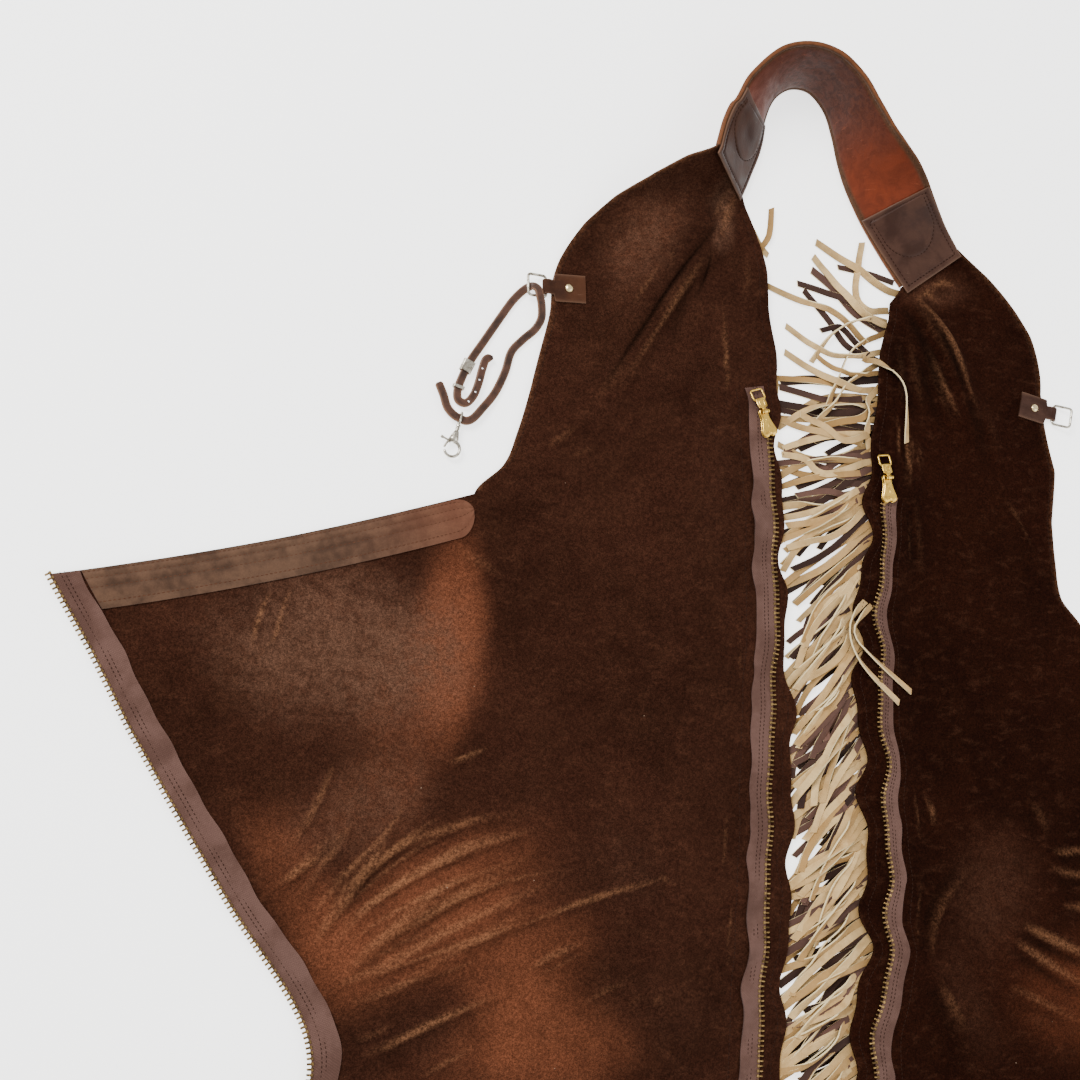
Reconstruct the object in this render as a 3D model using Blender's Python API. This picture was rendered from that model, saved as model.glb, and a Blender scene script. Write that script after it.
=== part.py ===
"""Zip-leg suede chaps laid out flat with the inside up: two legs joined by a back belt.

The legs are unzipped and opened, so each is one flat panel. Its side edge, with the side zip
and the fringed flap, lies next to the other leg's; its far edge holds the other half of the zip.
Lengths in the tables are millimetres, and the meshes are made in metres, +Z up.
"""

import math
from collections import namedtuple

import bmesh
import bpy
from mathutils import Matrix, Vector

MM = 0.001

# Thicknesses and gaps
SUEDE = 1.6
TAPE = 0.9
FACING = 1.2
PATCH = 1.4
BELT = 4.0
FRINGE = 3.0
GAP = 0.3

# Widths
BELT_WIDTH = 61.0
TAPE_WIDTH = 15.0
BACK_TAPE_WIDTH = 17.0
FLAP_UNDER_BELT = 8.0
FRINGE_ROOT = 12.0
FRINGE_REACH = 84.0
FRINGE_TOP = 128.0

# The panel stands on the fringe near its side edge and comes down to the floor past it
OVER_FRINGE = FRINGE + 0.6

# How fine the panels are: columns over each part of a row, and rows below the thigh top
FRONT_COLUMNS = 5
WING_COLUMNS = 6
LOWER_ROWS = 24
BELT_ROWS = 30
WIRE_SIDES = 8


# --- the cut of one leg -------------------------------------------------------------------

# One row across the leg: how high it starts on the side zip, how far the flap stands out past
# the zip, and where it ends on the outer edge. The top of the zip is near (0, 0), +v is to the
# waist.
Cut = namedtuple("Cut", "seam_v flap edge_u edge_v")

# From under the belt down the waist curve, past the tab and along the crotch curve
WAIST_ROWS = (
    Cut(153, -11, 67, 186),
    Cut(140, -5, 88, 174),
    Cut(127, -1, 106, 158),
    Cut(112, 4, 124, 140),
    Cut(96, 8, 141, 119),
    Cut(78, 9, 155, 97),
    Cut(60, 10, 164, 74),
    Cut(44, 13, 167, 50),
    Cut(28, 17, 175, 22),
    Cut(10, 18, 186, -14),
    Cut(-8, 17, 196, -42),
    Cut(-23, 15, 207, -66),
)

# From the top of the thigh down the back zip to the hem
THIGH_TOP, FACING_LOW = 0, 1
LEG_ROWS = (
    Cut(-38, 14, 511, -150),
    Cut(-68, 15, 495, -177),
    Cut(-150, 20, 446, -257),
    Cut(-250, 19, 383, -356),
    Cut(-355, 19, 316, -456),
    Cut(-430, 18, 330, -545),
    Cut(-560, 19, 345, -670),
    Cut(-720, 17, 354, -810),
    Cut(-862, 16, 360, -950),
)

# The share of a lower row that lies inside the crotch corner
CROTCH_SHARE = 0.448
FLAP_TOP = 30.0
THIGH_SAG = 5.0
TAKEN_WITHIN = 110.0

# --- how each leg lies --------------------------------------------------------------------

# At a height v of the cut: where the side zip lies, the turn of the rows in degrees, the width
# taken up by small folds, how much of the flap is turned under, and the rise of the outer edge
Lay = namedtuple("Lay", "v x y turn taken turned rise")

LEFT_LAY = (
    Lay(186, 178, 296, 0, 19, 0, 44),
    Lay(174, 178, 286, 0, 25, 0, 38),
    Lay(158, 178, 275, 0, 17, 0, 27),
    Lay(140, 178, 259, 0, 7, 0, 13),
    Lay(119, 178, 239, 0, 2, 0, 4),
    Lay(90, 178, 210, 0, 0, 0, 0),
    Lay(0, 179, 120, 0, 0, 6, 0),
    Lay(-60, 181, 60, 0, 0, 6, 0),
    Lay(-140, 180, -20, 0, 0, 12, 0),
    Lay(-200, 177, -80, 0, 0, 11, 0),
    Lay(-250, 171, -130, 0, 0, 0, 0),
    Lay(-360, 163, -240, 0, 0, 0, 0),
    Lay(-500, 148, -380, 0, 0, 0, 0),
    Lay(-960, 135, -838, 0, 0, 0, 0),
)

RIGHT_LAY = (
    Lay(186, 291, 238, 0, 0, 0, 6),
    Lay(158, 289, 210, 0, 0, 0, 5),
    Lay(119, 290, 176, 0, 10, 0, 2),
    Lay(74, 287, 129, 0, 23, 0, 0),
    Lay(22, 285, 76, -4, 24, 0, 0),
    Lay(-14, 281, 39, -6, 38, 0, 0),
    Lay(-66, 270, -12, -9, 42, 0, 0),
    Lay(-114, 265, -60, -10, 44, 0, 0),
    Lay(-234, 264, -180, -10, 32, 0, 0),
    Lay(-350, 260, -297, -10, 12, 0, 0),
    Lay(-432, 240, -378, -10, 0, 0, 0),
    Lay(-960, 196, -902, -8, 0, 0, 0),
)

# A leg's side of the garment, its lay, the size of the ripples along its zip and flap, how far the
# fringe lies under it, and the height of the cut that its side tape starts below
Leg = namedtuple("Leg", "name side lay zip_ripple flap_ripple fringe_cover tape_top")
LEFT = Leg("left", -1, LEFT_LAY, 1.5, 3.0, FRINGE_REACH + FRINGE_ROOT, 12)
RIGHT = Leg("right", 1, RIGHT_LAY, 4.0, 4.0, 2 * FRINGE_ROOT, -5)
RIPPLE_PITCH = 76.0
RIPPLE_FADE = 45.0

# The largest folds: a ridge from start to end in the laid-out plane, its height and half width
Fold = namedtuple("Fold", "x0 y0 x1 y1 height half_width")
FOLDS = (
    Fold(128, 236, 66, 150, 6, 16),
    Fold(330, 178, 366, 92, 6, 15),
    Fold(-120, -262, 10, -196, 4, 15),
    Fold(-110, -300, 30, -232, 4, 15),
    Fold(322, -236, 300, -300, 4, 16),
    Fold(302, -312, 330, -372, 4, 16),
    Fold(-110, -480, 40, -430, 4, 18),
    Fold(420, -480, 560, -540, 4, 18),
)

# --- the belt -----------------------------------------------------------------------------

# Where the belt's lower edge stands on the floor, from the left leg round to the right leg, and
# how far its face is tilted up in degrees
BeltStation = namedtuple("BeltStation", "x y tilt")
BELT_LINE = (
    BeltStation(168, 276, 46),
    BeltStation(178, 297, 43),
    BeltStation(186, 318, 45),
    BeltStation(190, 338, 54),
    BeltStation(199, 358, 68),
    BeltStation(215, 370, 82),
    BeltStation(234, 369, 88),
    BeltStation(248, 353, 86),
    BeltStation(254, 331, 79),
    BeltStation(257, 309, 66),
    BeltStation(262, 287, 47),
    BeltStation(272, 262, 27),
    BeltStation(288, 234, 12),
    BeltStation(304, 210, 6),
)
PATCH_ROWS = 7
PATCH_OVERLAP = 7.0
PATCH_INSET = 1.5

# --- tab, strap and snap --------------------------------------------------------------------

TabPlace = namedtuple("TabPlace", "x y heading")
LEFT_TAB = TabPlace(26, 188, 180)
RIGHT_TAB = TabPlace(420, 117, -14)
TAB_PATCH = (26.0, 21.0)
SHOULDER_START, SHOULDER_END, SHOULDER_RISE = 10.5, 11.5, 0.3
TONGUE_WIDTH = 11.0
TONGUE_REACH = 20.5
TONGUE_RUN_IN = 2.0
TONGUE_FOLD_STEPS = 6
RIVET_RADIUS, RIVET_HEIGHT = 3.2, 1.5
WIRE_RADIUS = 1.0
RING_LENGTH, RING_WIDTH, RING_CORNER = 15.0, 16.0, 2.0
RING_TILT = 14.0

# The strap's route: the height is that of its underside, and it is threaded through the ring
Route = namedtuple("Route", "x y height")
STRAP_WIDTH, STRAP = 6.0, 2.2
STRAP_REST = 2.4
STRAP_ROUTE = (
    Route(-33.5, 131.5, STRAP_REST),
    Route(-38.5, 130, STRAP_REST),
    Route(-41.5, 122.5, STRAP_REST),
    Route(-44.5, 112, STRAP_REST),
    Route(-48.5, 102.5, STRAP_REST),
    Route(-54, 97, STRAP_REST),
    Route(-59.5, 99, STRAP_REST),
    Route(-60, 106, STRAP_REST),
    Route(-56.4, 116, STRAP_REST),
    Route(-50, 128.5, STRAP_REST),
    Route(-40, 143, 0.6),
    Route(-27, 162, 0.3),
    Route(-17, 176, 0.3),
    Route(-8, 185, 0.3),
    Route(-2.5, 187.2, 2.6),
    Route(0.8, 184.6, 5.4),
    Route(1.8, 179.5, 6.6),
    Route(3.6, 172, 4.8),
    Route(3.6, 163, 2.6),
    Route(-1, 155, 0.6),
    Route(-10, 147, 0.3),
    Route(-19, 137, 0.3),
    Route(-24, 122, 0.3),
    Route(-32, 106, 0.8),
    Route(-42.5, 93, 2.6),
    Route(-49, 86, 3.0),
    Route(-54, 83.8, 3.0),
    Route(-58.5, 85.2, 3.0),
    Route(-63.5, 88, 3.0),
    Route(-68, 93.5, 3.0),
    Route(-70.5, 102, 3.0),
    Route(-74, 111, 3.0),
)
KEEPER, KEEPER_HEADING = (-52.6, 124.0), 63
KEEPER_LENGTH, KEEPER_WALL = 9.0, 0.9
BUCKLE, BUCKLE_HEADING = (-59.3, 108.5), 72
BUCKLE_LENGTH, BUCKLE_WIRE = 2.4, 0.8

# The swivel snap, along its own axis from the eye that holds the strap
EYE = (-58.5, 85.2)
EYE_LENGTH, EYE_HEIGHT, EYE_WIRE = 4.3, 2.5, 0.9
SNAP_HEADING = -106.0
SNAP_HEIGHT = 4.1
SHANK_START, SHANK_NECK = 6.8, 10.5
SHANK_RADIUS, BODY_RADIUS = 1.5, 2.4
HOOK_CENTRE, HOOK_RADIUS, HOOK_WIRE = 23.0, 5.6, 1.15
HOOK_TIP, HOOK_ROOT = -68.0, 174.0
GATE_WIRE, GATE_PIVOT, LEVER_LENGTH = 0.8, (17.6, -3.8), 6.5

# The zip sliders: where a pin stands and the way that its pull points, then the body's outline,
# as distances along from the pin and half widths
SliderPlace = namedtuple("SliderPlace", "x y heading")
LEFT_SLIDER = SliderPlace(176, 100, 107)
RIGHT_SLIDER = SliderPlace(278, 53, 95)
SLIDER_BASE = OVER_FRINGE + SUEDE + TAPE + 3 * GAP
SLIDER_HEIGHT = 3.6
Flare = namedtuple("Flare", "along half")
SLIDER_OUTLINE = (
    Flare(3.4, 2.8),
    Flare(1.6, 3.6),
    Flare(-3.0, 3.5),
    Flare(-9.0, 4.6),
    Flare(-14.0, 6.1),
    Flare(-17.2, 6.0),
    Flare(-18.8, 4.2),
)
EAR_LENGTH, EAR_WIDTH, EAR_OFF, EAR_RISE = 3.0, 1.0, 2.4, 1.6
PIN_RADIUS, PIN_LENGTH, PIN_LIFT = 0.7, 5.0, 2.1
PULL_THICKNESS, PULL_TILT = 1.2, 13.0
BARREL_WALL, BARREL_LENGTH = 0.8, 3.0

# The pull's flat parts: from where to where along it, and their widths
NECK_START, NECK_END, NECK_WIDTH = 1.0, 4.0, 2.8
PLATE_START, PLATE_END, PLATE_WIDTH = 3.2, 11.0, 7.6
LOOP_START, LOOP_END, LOOP_WIDTH, LOOP_WIRE = 10.0, 19.5, 11.0, 1.5

for old in list(bpy.data.objects):
    bpy.data.objects.remove(old)


# --- smooth tables and meshes ---------------------------------------------------------------

def smooth(rows, index):
    """The row at a real index, on a smooth curve through the rows."""
    last = len(rows) - 1
    k = min(int(max(index, 0.0)), last - 1)
    t = min(max(index, 0.0), last) - k
    before, start, end, after = (rows[min(max(k + step, 0), last)] for step in (-1, 0, 1, 2))
    values = []
    for a, b, c, d in zip(before, start, end, after):
        bend = 2 * a - 5 * b + 4 * c - d
        twist = 3 * b - a - 3 * c + d
        values.append(b + 0.5 * t * (c - a + t * (bend + t * twist)))
    return type(start)(*values)


def lay_at(lay, v):
    """The lay row at height v of the cut; the rows run from the waist down."""
    for k in range(len(lay) - 1):
        if v >= lay[k + 1].v:
            break
    share = (lay[k].v - v) / (lay[k].v - lay[k + 1].v)
    return Lay(*(a + (b - a) * share for a, b in zip(lay[k], lay[k + 1])))


def material(name, color, roughness, metallic=0.0):
    made = bpy.data.materials.new(name)
    made.use_nodes = True
    shader = made.node_tree.nodes["Principled BSDF"]
    shader.inputs["Base Color"].default_value = (*color, 1.0)
    shader.inputs["Roughness"].default_value = roughness
    shader.inputs["Metallic"].default_value = metallic
    return made


def add_object(name, bm, finish):
    """A closed mesh in millimetres becomes a named object in metres."""
    bmesh.ops.scale(bm, vec=(MM, MM, MM), verts=bm.verts)
    mesh = bpy.data.meshes.new(name)
    bm.to_mesh(mesh)
    bm.free()
    mesh.materials.append(finish)
    made = bpy.data.objects.new(name, mesh)
    bpy.context.scene.collection.objects.link(made)
    return made


def grid_normals(grid):
    """The upward normal at each point of a grid; None marks a place with no point."""
    def at(r, c):
        inside = 0 <= r < len(grid) and 0 <= c < len(grid[r])
        return grid[r][c] if inside else None

    normals = []
    for r, row in enumerate(grid):
        normals.append([])
        for c, here in enumerate(row):
            if here is None:
                normals[-1].append(None)
                continue
            down = (at(r + 1, c) or here) - (at(r - 1, c) or here)
            across = (at(r, c + 1) or here) - (at(r, c - 1) or here)
            normal = across.cross(down).normalized()
            normals[-1].append(-normal if normal.z < 0 else normal)
    return normals


def wall(name, grid, normals, lift, thickness, finish):
    """A sheet of even thickness on a grid of points, moved out from them by lift."""
    bm = bmesh.new()
    low, high = {}, {}
    for r, row in enumerate(grid):
        for c, point in enumerate(row):
            if point is not None:
                low[r, c] = bm.verts.new(point + normals[r][c] * lift)
                high[r, c] = bm.verts.new(point + normals[r][c] * (lift + thickness))
    border = {}
    for r, c in low:
        corners = ((r, c), (r + 1, c), (r + 1, c + 1), (r, c + 1))
        if not all(corner in low for corner in corners):
            continue
        for half in (corners[:3], corners[:1] + corners[2:]):
            bm.faces.new([high[corner] for corner in half])
            bm.faces.new([low[corner] for corner in reversed(half)])
        for a, b in zip(corners, corners[1:] + corners[:1]):
            if border.pop((b, a), None) is None:
                border[a, b] = True
    for a, b in border:
        bm.faces.new((high[b], high[a], low[a], low[b]))
    bmesh.ops.recalc_face_normals(bm, faces=bm.faces)
    return add_object(name, bm, finish)


def tube(bm, path, radius, closed=False, sides=WIRE_SIDES):
    """A round wire along a path."""
    rings = []
    up = Vector((0, 0, 1))
    for k, point in enumerate(path):
        before = path[k - 1] if closed or k else point
        after = path[(k + 1) % len(path)] if closed or k + 1 < len(path) else point
        along = (after - before).normalized()
        side = along.cross(up)
        side = side.normalized() if side.length > 0.05 else Vector((1, 0, 0))
        rise = side.cross(along)
        turns = (2 * math.pi * s / sides for s in range(sides))
        rings.append([bm.verts.new(point + radius * (side * math.cos(a) + rise * math.sin(a)))
                      for a in turns])
    pairs = zip(rings, rings[1:] + rings[:1]) if closed else zip(rings, rings[1:])
    for ring, other in pairs:
        for s in range(sides):
            t = (s + 1) % sides
            bm.faces.new((ring[s], ring[t], other[t], other[s]))
    if not closed:
        bm.faces.new(list(reversed(rings[0])))
        bm.faces.new(rings[-1])
    bmesh.ops.recalc_face_normals(bm, faces=bm.faces)


def block(bm, size, centre):
    made = bmesh.ops.create_cube(bm, size=1.0)["verts"]
    bmesh.ops.scale(bm, vec=size, verts=made)
    bmesh.ops.translate(bm, vec=centre, verts=made)


def rod(bm, radius, length, centre, turn=None, end_radius=None, sides=16):
    place = Matrix.Translation(centre) @ (turn or Matrix.Identity(4))
    bmesh.ops.create_cone(bm, cap_ends=True, segments=sides, radius1=radius, depth=length,
                          radius2=radius if end_radius is None else end_radius, matrix=place)


def combine(name, first, others, finish):
    """One body from a first mesh and others joined to it or cut from it."""
    made = add_object(name, first, finish)
    for operation, bm in others:
        other = add_object(name + "_tool", bm, finish)
        step = made.modifiers.new(operation, "BOOLEAN")
        step.operation = operation
        step.solver = "EXACT"
        step.object = other
        shown = made.evaluated_get(bpy.context.evaluated_depsgraph_get())
        mesh = bpy.data.meshes.new_from_object(shown)
        made.modifiers.remove(step)
        made.data = mesh
        bpy.data.objects.remove(other)
    return made


def place(made, x, y, z, heading):
    """Turns a piece made about its own origin to its heading and moves it to its place."""
    turn = Matrix.Rotation(math.radians(heading), 4, "Z")
    made.data.transform(Matrix.Translation(Vector((x, y, z)) * MM) @ turn)


SUEDE_FINISH = material("suede", (0.033, 0.012, 0.007), 0.95)
FACING_FINISH = material("facing", (0.05, 0.024, 0.015), 0.9)
TAPE_FINISH = material("zip_tape", (0.13, 0.07, 0.055), 0.85)
BELT_FINISH = material("belt_leather", (0.19, 0.045, 0.018), 0.5)
PATCH_FINISH = material("patch_leather", (0.07, 0.03, 0.024), 0.45)
FRINGE_FINISH = material("fringe_leather", (0.52, 0.37, 0.2), 0.85)
STRAP_FINISH = material("strap_leather", (0.075, 0.035, 0.022), 0.6)
BRASS_FINISH = material("brass", (0.78, 0.56, 0.2), 0.25, 1.0)
STEEL_FINISH = material("nickel", (0.66, 0.64, 0.6), 0.25, 1.0)


# --- the belt -------------------------------------------------------------------------------

def belt_frame(distance):
    """Lower edge, heading, across and face normal of the belt, a distance along from the left."""
    lengths = [0.0]
    for a, b in zip(BELT_LINE, BELT_LINE[1:]):
        lengths.append(lengths[-1] + math.dist(a[:2], b[:2]))
    inside = min(max(distance, 0.0), lengths[-1])
    k = next(i for i in range(len(lengths) - 1) if inside <= lengths[i + 1])
    index = k + (inside - lengths[k]) / (lengths[k + 1] - lengths[k])
    here = smooth(BELT_LINE, index)
    ahead, behind = smooth(BELT_LINE, index + 0.15), smooth(BELT_LINE, index - 0.15)
    heading = Vector((ahead.x - behind.x, ahead.y - behind.y, 0)).normalized()
    outward = Vector((-heading.y, heading.x, 0))
    tilt = math.radians(here.tilt)
    across = outward * math.cos(tilt) + Vector((0, 0, math.sin(tilt)))
    normal = -outward * math.sin(tilt) + Vector((0, 0, math.cos(tilt)))
    point = Vector((here.x, here.y, 0)) + heading * (distance - inside)
    return point, heading, across, normal, lengths[-1]


def belt_grid(distances, inset, columns=3):
    points, normals = [], []
    for distance in distances:
        point, _, across, normal, _ = belt_frame(distance)
        reach = [inset + (BELT_WIDTH - 2 * inset) * c / (columns - 1) for c in range(columns)]
        points.append([point + across * step for step in reach])
        normals.append([normal] * columns)
    return points, normals


BELT_LENGTH = belt_frame(0)[4]
BELT_DISTANCES = [BELT_LENGTH * r / BELT_ROWS for r in range(BELT_ROWS + 1)]
wall("belt", *belt_grid(BELT_DISTANCES, 0), 0, BELT, BELT_FINISH)
patch_distances = [-PATCH_OVERLAP] + BELT_DISTANCES[:PATCH_ROWS]
left_patch = belt_grid(patch_distances, PATCH_INSET)
wall("belt_patch_left", *left_patch, BELT + GAP, PATCH, PATCH_FINISH)
patch_distances = BELT_DISTANCES[-PATCH_ROWS:] + [BELT_LENGTH + PATCH_OVERLAP]
right_patch = belt_grid(patch_distances, PATCH_INSET)
wall("belt_patch_right", *right_patch, BELT + GAP, PATCH, PATCH_FINISH)


# --- the legs -------------------------------------------------------------------------------

def ripple(v, phase):
    turn = 2 * math.pi * v / RIPPLE_PITCH
    return math.sin(turn + phase) * 0.65 + math.sin(turn * 1.73 + 2.1 * phase) * 0.35


def floor_height(leg, x, y, u, v, share, rise):
    """How high the underside of a leg lies: its raised corner, its fringe and its folds."""
    height = rise * max(0.0, (share - 0.2) / 0.8) ** 1.4
    past = (u - leg.fringe_cover) / 24.0
    below_belt = min(1.0, max(0.0, (FRINGE_TOP + 20.0 - v) / 20.0))
    height += OVER_FRINGE * min(1.0, max(0.0, 1.0 - past)) * below_belt
    here = Vector((x, y))
    for fold in FOLDS:
        start, end = Vector((fold.x0, fold.y0)), Vector((fold.x1, fold.y1))
        along = (here - start).dot(end - start) / (end - start).length_squared
        nearest = start.lerp(end, min(max(along, 0.0), 1.0))
        distance = (here - nearest).length / fold.half_width
        taper = math.exp(-(max(0.0, abs(along - 0.5) - 0.3) * 4) ** 2)
        height += fold.height * math.exp(-distance ** 2) * taper
    return height


def laid_point(leg, u, v, share):
    """Where a point of the cut lies: u across from the side zip, v up along it."""
    lay = lay_at(leg.lay, v)
    fade = math.exp(-max(u, 0.0) / RIPPLE_FADE) * min(1.0, max(0.0, (60.0 - v) / 60.0))
    shift = leg.zip_ripple * ripple(v, 0.6) * fade
    turn = math.radians(lay.turn)
    reach = u - lay.taken * min(1.0, max(0.0, u / TAKEN_WITHIN)) + shift
    x = lay.x + leg.side * reach * math.cos(turn)
    y = lay.y + reach * math.sin(turn)
    return Vector((x, y, floor_height(leg, x, y, u, v, share, lay.rise)))


def flap_width(leg, cut):
    wave = leg.flap_ripple * ripple(cut.seam_v, 2.4)
    turned = lay_at(leg.lay, cut.seam_v).turned
    return cut.flap - turned + wave * min(1.0, max(0.0, (40.0 - cut.seam_v) / 40.0))


def row_points(leg, cut, whole):
    """One row of the panel: flap edge, zip line, tape edge, then out to the row's end."""
    flap = flap_width(leg, cut)
    zip_u = FLAP_UNDER_BELT - flap if cut.seam_v > FLAP_TOP else 0.0
    slope = (cut.edge_v - cut.seam_v) / cut.edge_u
    steps = [-flap, zip_u, zip_u + TAPE_WIDTH]
    near = cut.edge_u * (CROTCH_SHARE if whole else 1.0)
    steps += [steps[2] + (near - steps[2]) * c / FRONT_COLUMNS
              for c in range(1, FRONT_COLUMNS + 1)]
    if whole:
        tape_u = cut.edge_u - BACK_TAPE_WIDTH
        steps += [near + (tape_u - near) * c / WING_COLUMNS for c in range(1, WING_COLUMNS + 1)]
        steps.append(cut.edge_u)
    points = []
    for u in steps:
        share = (u + flap) / (steps[2 + FRONT_COLUMNS] + flap)
        wing = max(0.0, (u - near) / (cut.edge_u - near)) if whole else 0.0
        v = cut.seam_v + slope * max(u, 0.0) - THIGH_SAG * 4 * wing * (1 - wing)
        points.append(laid_point(leg, u, v, min(share, 1.0)))
    return points + [None] * (len(LEG_COLUMNS) - len(points))


LEG_COLUMNS = range(3 + FRONT_COLUMNS + WING_COLUMNS + 1)
ZIP_COLUMN, TAPE_COLUMN = 1, 2
CROTCH_COLUMN = 2 + FRONT_COLUMNS
BACK_TAPE_COLUMN = CROTCH_COLUMN + WING_COLUMNS


def belt_row(leg):
    """The panel's top row butts on the end of the belt, level with the belt's upper face."""
    at_start = leg.side < 0
    point, heading, across, normal, length = belt_frame(0.0 if at_start else BELT_LENGTH)
    away = -heading if at_start else heading
    base = point + away * 2 * GAP + normal * (BELT - SUEDE - 0.4)
    steps = range(CROTCH_COLUMN + 1)
    made = [base + across * (BELT_WIDTH * c / CROTCH_COLUMN) for c in steps]
    return made + [None] * (len(LEG_COLUMNS) - len(made))


def leg_grid(leg):
    rows = [belt_row(leg)]
    rows += [row_points(leg, cut, whole=False) for cut in WAIST_ROWS[1:]]
    rows.append(row_points(leg, LEG_ROWS[THIGH_TOP], whole=True))
    rows.append(row_points(leg, LEG_ROWS[FACING_LOW], whole=True))
    last = len(LEG_ROWS) - 1
    for r in range(1, LOWER_ROWS + 1):
        index = FACING_LOW + (last - FACING_LOW) * r / LOWER_ROWS
        rows.append(row_points(leg, smooth(LEG_ROWS, index), whole=True))
    return rows


THIGH_ROW = len(WAIST_ROWS)
LEGS = {}

for leg in (LEFT, RIGHT):
    grid = leg_grid(leg)
    normals = grid_normals(grid)
    face_normal = belt_frame(0.0 if leg is LEFT else BELT_LENGTH)[3]
    normals[0] = [point and face_normal for point in grid[0]]
    LEGS[leg.name] = grid
    wall("leg_panel_" + leg.name, grid, normals, 0, SUEDE, SUEDE_FINISH)

    top = next(r for r, cut in enumerate(WAIST_ROWS) if cut.seam_v <= leg.tape_top)
    tape_rows = [row[ZIP_COLUMN:TAPE_COLUMN + 1] for row in grid[top:]]
    tape_normals = [row[ZIP_COLUMN:TAPE_COLUMN + 1] for row in normals[top:]]
    wall("side_zip_" + leg.name, tape_rows, tape_normals, SUEDE + GAP, TAPE, TAPE_FINISH)

    back_rows, back_normals = [], []
    for row, row_normals in zip(grid[THIGH_ROW:], normals[THIGH_ROW:]):
        inner, edge = row[BACK_TAPE_COLUMN:BACK_TAPE_COLUMN + 2]
        outer = edge + (edge - inner).normalized() * 2.5
        back_rows.append([inner, edge, outer])
        up = row_normals[BACK_TAPE_COLUMN:BACK_TAPE_COLUMN + 2]
        back_normals.append([up[0], up[1], up[1]])
    wall("back_zip_" + leg.name, back_rows, back_normals, SUEDE + GAP, TAPE, TAPE_FINISH)

    band_rows, band_normals = [], []
    for r in (THIGH_ROW, THIGH_ROW + 1):
        row = grid[r][CROTCH_COLUMN:BACK_TAPE_COLUMN + 1]
        row[-1] = row[-1] + (row[-2] - row[-1]).normalized() * 3 * GAP
        band_rows.append(row)
        band_normals.append(normals[r][CROTCH_COLUMN:BACK_TAPE_COLUMN + 1])
    wall("thigh_facing_" + leg.name, band_rows, band_normals, SUEDE + GAP, FACING, FACING_FINISH)


# --- the fringe -----------------------------------------------------------------------------

def flap_edge(name):
    return [row[0] for row in LEGS[name][2:]]


def edge_x(points, y):
    """Where a flap's edge lies at height y; the points run from the waist down."""
    for upper, lower in zip(points, points[1:]):
        if y >= lower.y:
            break
    share = (upper.y - y) / (upper.y - lower.y)
    return upper.x + (lower.x - upper.x) * min(max(share, 0.0), 1.0)


def fringe(name, root, reach_to, steps=26):
    """The flat space that a leg's fringe fills on the floor, from its sewn root to its tips."""
    rows, normals = [], []
    up = Vector((0, 0, 1))
    top, bottom = root[0].y - 2, root[-1].y + 4
    for k in range(steps + 1):
        y = top + (bottom - top) * k / steps
        start, end = edge_x(root, y), reach_to(y)
        rows.append([Vector((start + (end - start) * c / 2, y, 0)) for c in range(3)])
        normals.append([up] * 3)
    wall(name, rows, normals, 0, FRINGE, FRINGE_FINISH)


left_flap, right_flap = flap_edge("left"), flap_edge("right")
left_root = [point + Vector((-1, 0, 0)) for point in left_flap]
fringe("fringe_left", left_root, lambda y: edge_x(left_root, y) - FRINGE_REACH)
right_root = [point + Vector((FRINGE_ROOT, 0, 0)) for point in right_flap]
fringe("fringe_right", right_root,
       lambda y: max(edge_x(right_root, y) - FRINGE_ROOT - FRINGE_REACH, edge_x(left_flap, y) + 3))


# --- the waist tabs with their rivets and rings ------------------------------------------------

def tab(name, where, finish):
    """A riveted square on the panel whose tongue wraps round the ring's bar."""
    bar_height = PATCH + GAP + WIRE_RADIUS
    fold = WIRE_RADIUS + GAP
    base = SUEDE + GAP
    half, narrow = TAB_PATCH[1] / 2, TONGUE_WIDTH / 2
    bar = TONGUE_REACH - fold - PATCH
    profile = [(-TAB_PATCH[0] / 2, base, half, 90), (SHOULDER_START, base, half, 90),
               (SHOULDER_END, base + SHOULDER_RISE, narrow, 100),
               (bar - TONGUE_RUN_IN, bar_height + fold, narrow, 96)]
    for step in range(TONGUE_FOLD_STEPS + 1):
        degrees = 90 - 180 * step / TONGUE_FOLD_STEPS
        angle = math.radians(degrees)
        profile.append((bar + fold * math.cos(angle), bar_height + fold * math.sin(angle),
                        narrow, degrees))
    rows, normals = [], []
    for along, height, reach, angle in profile:
        out = math.radians(angle)
        rows.append([Vector((along, side * reach, height)) for side in (-1, 1)])
        normals.append([Vector((math.cos(out), 0, math.sin(out)))] * 2)
    made = wall(name, rows, normals, 0, PATCH, finish)
    place(made, where.x, where.y, 0, where.heading)
    return bar, bar_height


def ring(name, where, bar, bar_height):
    bm = bmesh.new()
    path = []
    corner = RING_CORNER
    half_length, half_width = RING_LENGTH / 2 - corner, RING_WIDTH / 2 - corner
    for step in range(16):
        angle = 2 * math.pi * (step + 0.5) / 16
        along = corner * math.cos(angle) + math.copysign(half_length, math.cos(angle))
        side = corner * math.sin(angle) + math.copysign(half_width, math.sin(angle))
        path.append(Vector((along + half_length + corner, side, 0)))
    tilt = Matrix.Rotation(math.radians(-RING_TILT), 3, "Y")
    path = [tilt @ point + Vector((bar, 0, bar_height)) for point in path]
    tube(bm, path, WIRE_RADIUS, closed=True)
    place(add_object(name, bm, STEEL_FINISH), where.x, where.y, 0, where.heading)


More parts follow.
